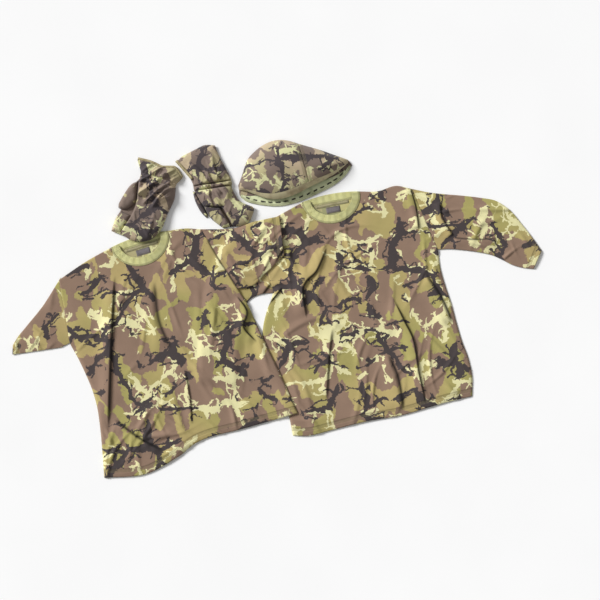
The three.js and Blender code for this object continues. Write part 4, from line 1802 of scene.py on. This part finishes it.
@dataclass
class Mitten:
    """A lined mitten with a thumb and a trigger finger, gathered at the wrist."""

    name: str
    turned: float
    relief: Relief
    seed: float
    perch: float = 0.0
    thumb_on_top: bool = True
    roundness: float = 34 * MM
    step: float = 3 * MM
    zoom: float = 1.5
    frame: Frame2D = field(init=False)
    palm: Array = field(init=False)
    wrist: Array = field(init=False)

    def __post_init__(self) -> None:
        """Finds the mitten's frame, its palm's edge and its wrist."""
        low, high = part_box(f"{self.name}_palm")
        self.frame = Frame2D(((low.x + high.x) / 2, (low.y + high.y) / 2), self.turned)
        self.palm = Outline.of(f"{self.name}_palm").loop(2 * self.step)
        self.wrist = plan_loop(f"{self.name}_wrist_tunnel").mean(0)

    def base(self, places: Array) -> Array:
        """Height of what the mitten lies on: the floor, or its perch at the finger end."""
        down = -self.frame.local(places)[:, 1]
        return self.perch * smoothstep(0, 75 * MM, down)

    def fullness(self, places: Array) -> Array:
        """How full the stuffed shell is.

        A quarter circle rises from the palm's edge, with a pinch at the wrist, a Gaussian dip across
        the mitten, and a cuff that flattens past it.

        Args:
            places: (m, 2) places on the floor.

        Returns:
            (m,) shares.
        """
        share = quarter(edge_gap(places, self.palm), self.roundness)
        wrist = self.frame.local(np.array([self.wrist]))[0]
        level = self.frame.local(places)[:, 1] - wrist[1]
        pinch = 1 - 0.52 * np.exp(-((level / (15 * MM)) ** 2))
        cuff = 1 - 0.35 * smoothstep(0, 40 * MM, level)
        return share * pinch * cuff

    def pad(self, part: str, shape: Pad) -> Surface:
        """A closed pillow over a part's outline.

        Its upper face stands over its lower one by the rim and by its own or the whole shell's
        fullness times the loft, with the mitten's folds on it and a groove along its seams. A shared
        part has a flat-shaded rim, any other comes to an edge.

        Args:
            part: which part.
            shape: its heights.

        Returns:
            The closed surface.
        """
        loop = grown(Outline.of(f"{self.name}_{part}").loop(self.step), shape.grow)
        plan, faces = lattice(loop, self.step)
        gap = edge_gap(plan, loop)
        own = quarter(gap, shape.radius)
        share = self.fullness(plan) if shape.shared else own
        base = self.base(plan) + shape.low
        groove = shape.groove * np.exp(-((gap / (2.2 * MM)) ** 2))
        rise = self.relief.rise(self.frame.local(plan)) * shape.folds * smoothstep(0, 5 * MM, gap)
        top = base + shape.rim * (0.5 + 0.5 * own) + (shape.loft + rise) * share - groove
        bottom = base + shape.rim * 0.4 * (1 - own)
        top = np.maximum(top, bottom + 0.4 * MM)
        local = self.frame.local(plan)
        seam = np.column_stack([np.arctan2(local[:, 1], local[:, 0]) * 60 * MM, gap])
        if shape.shared:
            upper = Surface(np.column_stack([plan, top]), faces, local, seam)
            whole = upper.down_to(np.column_stack([plan, bottom]))
            whole.flat = len(whole.faces) - 2 * len(faces)
            return whole
        edge = np.unique(border_edges(faces))
        top[edge] = bottom[edge] = (top[edge] + bottom[edge]) / 2
        order = np.full(len(plan), -1)
        order[edge] = edge
        free = np.setdiff1d(np.arange(len(plan)), edge)
        order[free] = len(plan) + np.arange(len(free))
        points = np.vstack([np.column_stack([plan, top]), np.column_stack([plan, bottom])[free]])
        faces = np.vstack([faces, order[faces][:, ::-1]])
        return Surface(points, faces, np.vstack([local, local[free]]), np.vstack([seam, seam[free]]))

    def build(self) -> None:
        """Builds and dresses every part of the mitten."""
        common = {"pitch": TWILL_PITCH, "palette": TWILL, "seed": self.seed, "zoom": self.zoom}
        shell = Printed(f"{self.name} print", Slot.CAMOUFLAGE, **common)
        band = Printed(f"{self.name} wrist", Slot.ELASTIC, **common)
        under = Pad(0.2 * MM, loft=0.4 * MM, radius=5 * MM, folds=0.0, shared=False)
        sewn = Pad(groove=0.5 * MM, grow=1.2 * MM)
        parts = {
            "palm": (under, shell),
            "back": (sewn, shell),
            "gauntlet": (sewn, shell),
            "wrist_tunnel": (Pad(radius=4 * MM), band),
            "cuff_hem": (Pad(rim=2.4 * MM, radius=4 * MM, groove=0.6 * MM), MITTEN_HEM),
            "trigger_finger": (Pad(loft=10 * MM, radius=14 * MM, folds=0.5, shared=False), shell),
            "thumb": (Pad(loft=13 * MM, radius=17 * MM, folds=0.5, shared=False), shell),
        }
        if not self.thumb_on_top:
            parts["thumb"] = (replace(under, loft=5 * MM, radius=8 * MM), shell)
        for part, (shape, finish) in parts.items():
            node = f"{self.name}_{part}"
            made = settle(self.pad(part, shape), f"{node}_cloth", finish, self.name, node)


def mittens() -> tuple[Mitten, Mitten]:
    """The left mitten, its finger end perched on a collar, and the right one.

    Returns:
        Both.
    """
    left = Relief(
        (
            Fold(((60, 124), (16, 66), (-44, -22)), 8, 8, 2.0),
            Fold(((28, 128), (-10, 80), (-46, 34)), 7, 7, 2.0),
            Fold(((72, 96), (34, 44), (-8, -26)), 7, 8, 2.0),
            Fold(((-8, 126), (-32, 92), (-54, 62)), 5, 7, 2.0),
            Fold(((70, 66), (42, 30), (26, -24)), 5, 8, 2.5),
        ),
        (
            Creases(31, 26, (-60, 10, 60, 120), 55, 18, (12, 36), (2.5, 5), (1.2, 3.2)),
            Creases(35, 14, (-70, -110, 60, 20), 70, 40, (14, 40), (4, 9), (0.8, 2.4)),
        ),
        0.8,
        3,
    )
    right = Relief(
        (
            Fold(((-34, 112), (-12, 40), (-30, -30)), 6, 9, 2.5),
            Fold(((44, 100), (22, 20), (30, -60)), 6, 9, 2.5),
            Fold(((6, 60), (-2, 10), (8, -40)), 5, 8, 2.5),
        ),
        (
            Creases(32, 24, (-50, -40, 60, 70), 80, 20, (12, 36), (2.5, 5), (1.2, 3.0)),
            Creases(36, 14, (-50, -140, 80, -30), 60, 40, (14, 40), (4, 9), (0.8, 2.4)),
        ),
        0.8,
        4,
    )
    return (
        Mitten("left_mitten", -18.0, left, 23.1, perch=5.0 * MM),
        Mitten("right_mitten", 30.0, right, 25.2, thumb_on_top=False),
    )


# ---- studio --------------------------------------------------------------------------------


@dataclass(frozen=True)
class Studio:
    """A pale floor, soft light and the camera, which looks almost straight down."""

    elevation: float = 84.0
    distance: float = 4.2
    view_width: float = 1.872
    centre: tuple[float, float] = (0.0683, 0.0215)
    surround: float = 0.36
    seen_surround: float = 0.97
    window: float = 3.9
    window_angle: float = 20.0
    window_from: tuple[float, float, float] = (-1.0, 0.5, 0.68)
    floor_half: float = 20.0

    def build(self) -> None:
        """Builds the floor, lights and camera."""
        self.floor()
        self.lights()
        self.camera()

    def floor(self) -> None:
        """A plane with a pale, faintly mottled finish."""
        mesh = bpy.data.meshes.new("floor")
        corners = np.array([(-1, -1, 0), (1, -1, 0), (1, 1, 0), (-1, 1, 0)]) * self.floor_half
        mesh.from_pydata(corners.tolist(), [], [(0, 1, 2, 3)])
        made = bpy.data.objects.new("floor", mesh)
        bpy.context.scene.collection.objects.link(made)
        material = bpy.data.materials.new("pale floor")
        material.use_nodes = True
        material.node_tree.nodes.clear()
        tree = Tree(material.node_tree)
        place = tree.add("TexCoord").outputs["Object"]
        mottle = tree.noise(place, 3, 2).outputs[0]
        colour = tree.mix(mottle, linear(246, 246, 246), linear(252, 252, 252))
        shader = tree.add("BsdfPrincipled", {"Base Color": colour, "Roughness": 0.85})
        tree.add("OutputMaterial", {"Surface": shader.outputs[0]})
        mesh.materials.append(material)

    def lights(self) -> None:
        """An even white surround, whiter where it is seen itself, and a wide soft window light."""
        world = bpy.data.worlds.new("surround")
        world.use_nodes = True
        tree = Tree(world.node_tree)
        ground = world.node_tree.nodes["Background"].inputs
        ground["Color"].default_value = (1, 1, 1, 1)
        direct = tree.add("LightPath").outputs["Is Camera Ray"]
        seen = tree.math("MULTIPLY", direct, self.seen_surround - self.surround)
        world.node_tree.links.new(tree.math("ADD", seen, self.surround), ground["Strength"])
        bpy.context.scene.world = world
        sun = bpy.data.lights.new("window", "SUN")
        sun.energy, sun.angle = self.window, math.radians(self.window_angle)
        light = bpy.data.objects.new("window", sun)
        light.rotation_euler = Vector(self.window_from).to_track_quat("Z", "Y").to_euler()
        bpy.context.scene.collection.objects.link(light)

    def camera(self) -> None:
        """A camera at the given elevation, as wide as view_width at the floor."""
        data = bpy.data.cameras.new("camera")
        data.angle = 2 * math.atan(self.view_width / 2 / self.distance)
        data.clip_end = 50
        made = bpy.data.objects.new("camera", data)
        tilt = math.radians(self.elevation)
        target = Vector((*self.centre, 0.0))
        made.location = target + self.distance * Vector((0, -math.cos(tilt), math.sin(tilt)))
        made.rotation_euler = (math.pi / 2 - tilt, 0, 0)
        bpy.context.scene.collection.objects.link(made)
        bpy.context.scene.camera = made
        bpy.context.scene.view_settings.view_transform = "Standard"


def main() -> None:
    """Builds the garments from the lowest layer up, then the studio."""
    logging.basicConfig(level=logging.INFO, format="%(message)s")
    longer = long_shirt()
    shorter = short_shirt(longer)
    for garment in (longer, shorter, Cap(), *mittens()):
        garment.build()
    Studio().build()


if __name__ == "__main__":
    main()
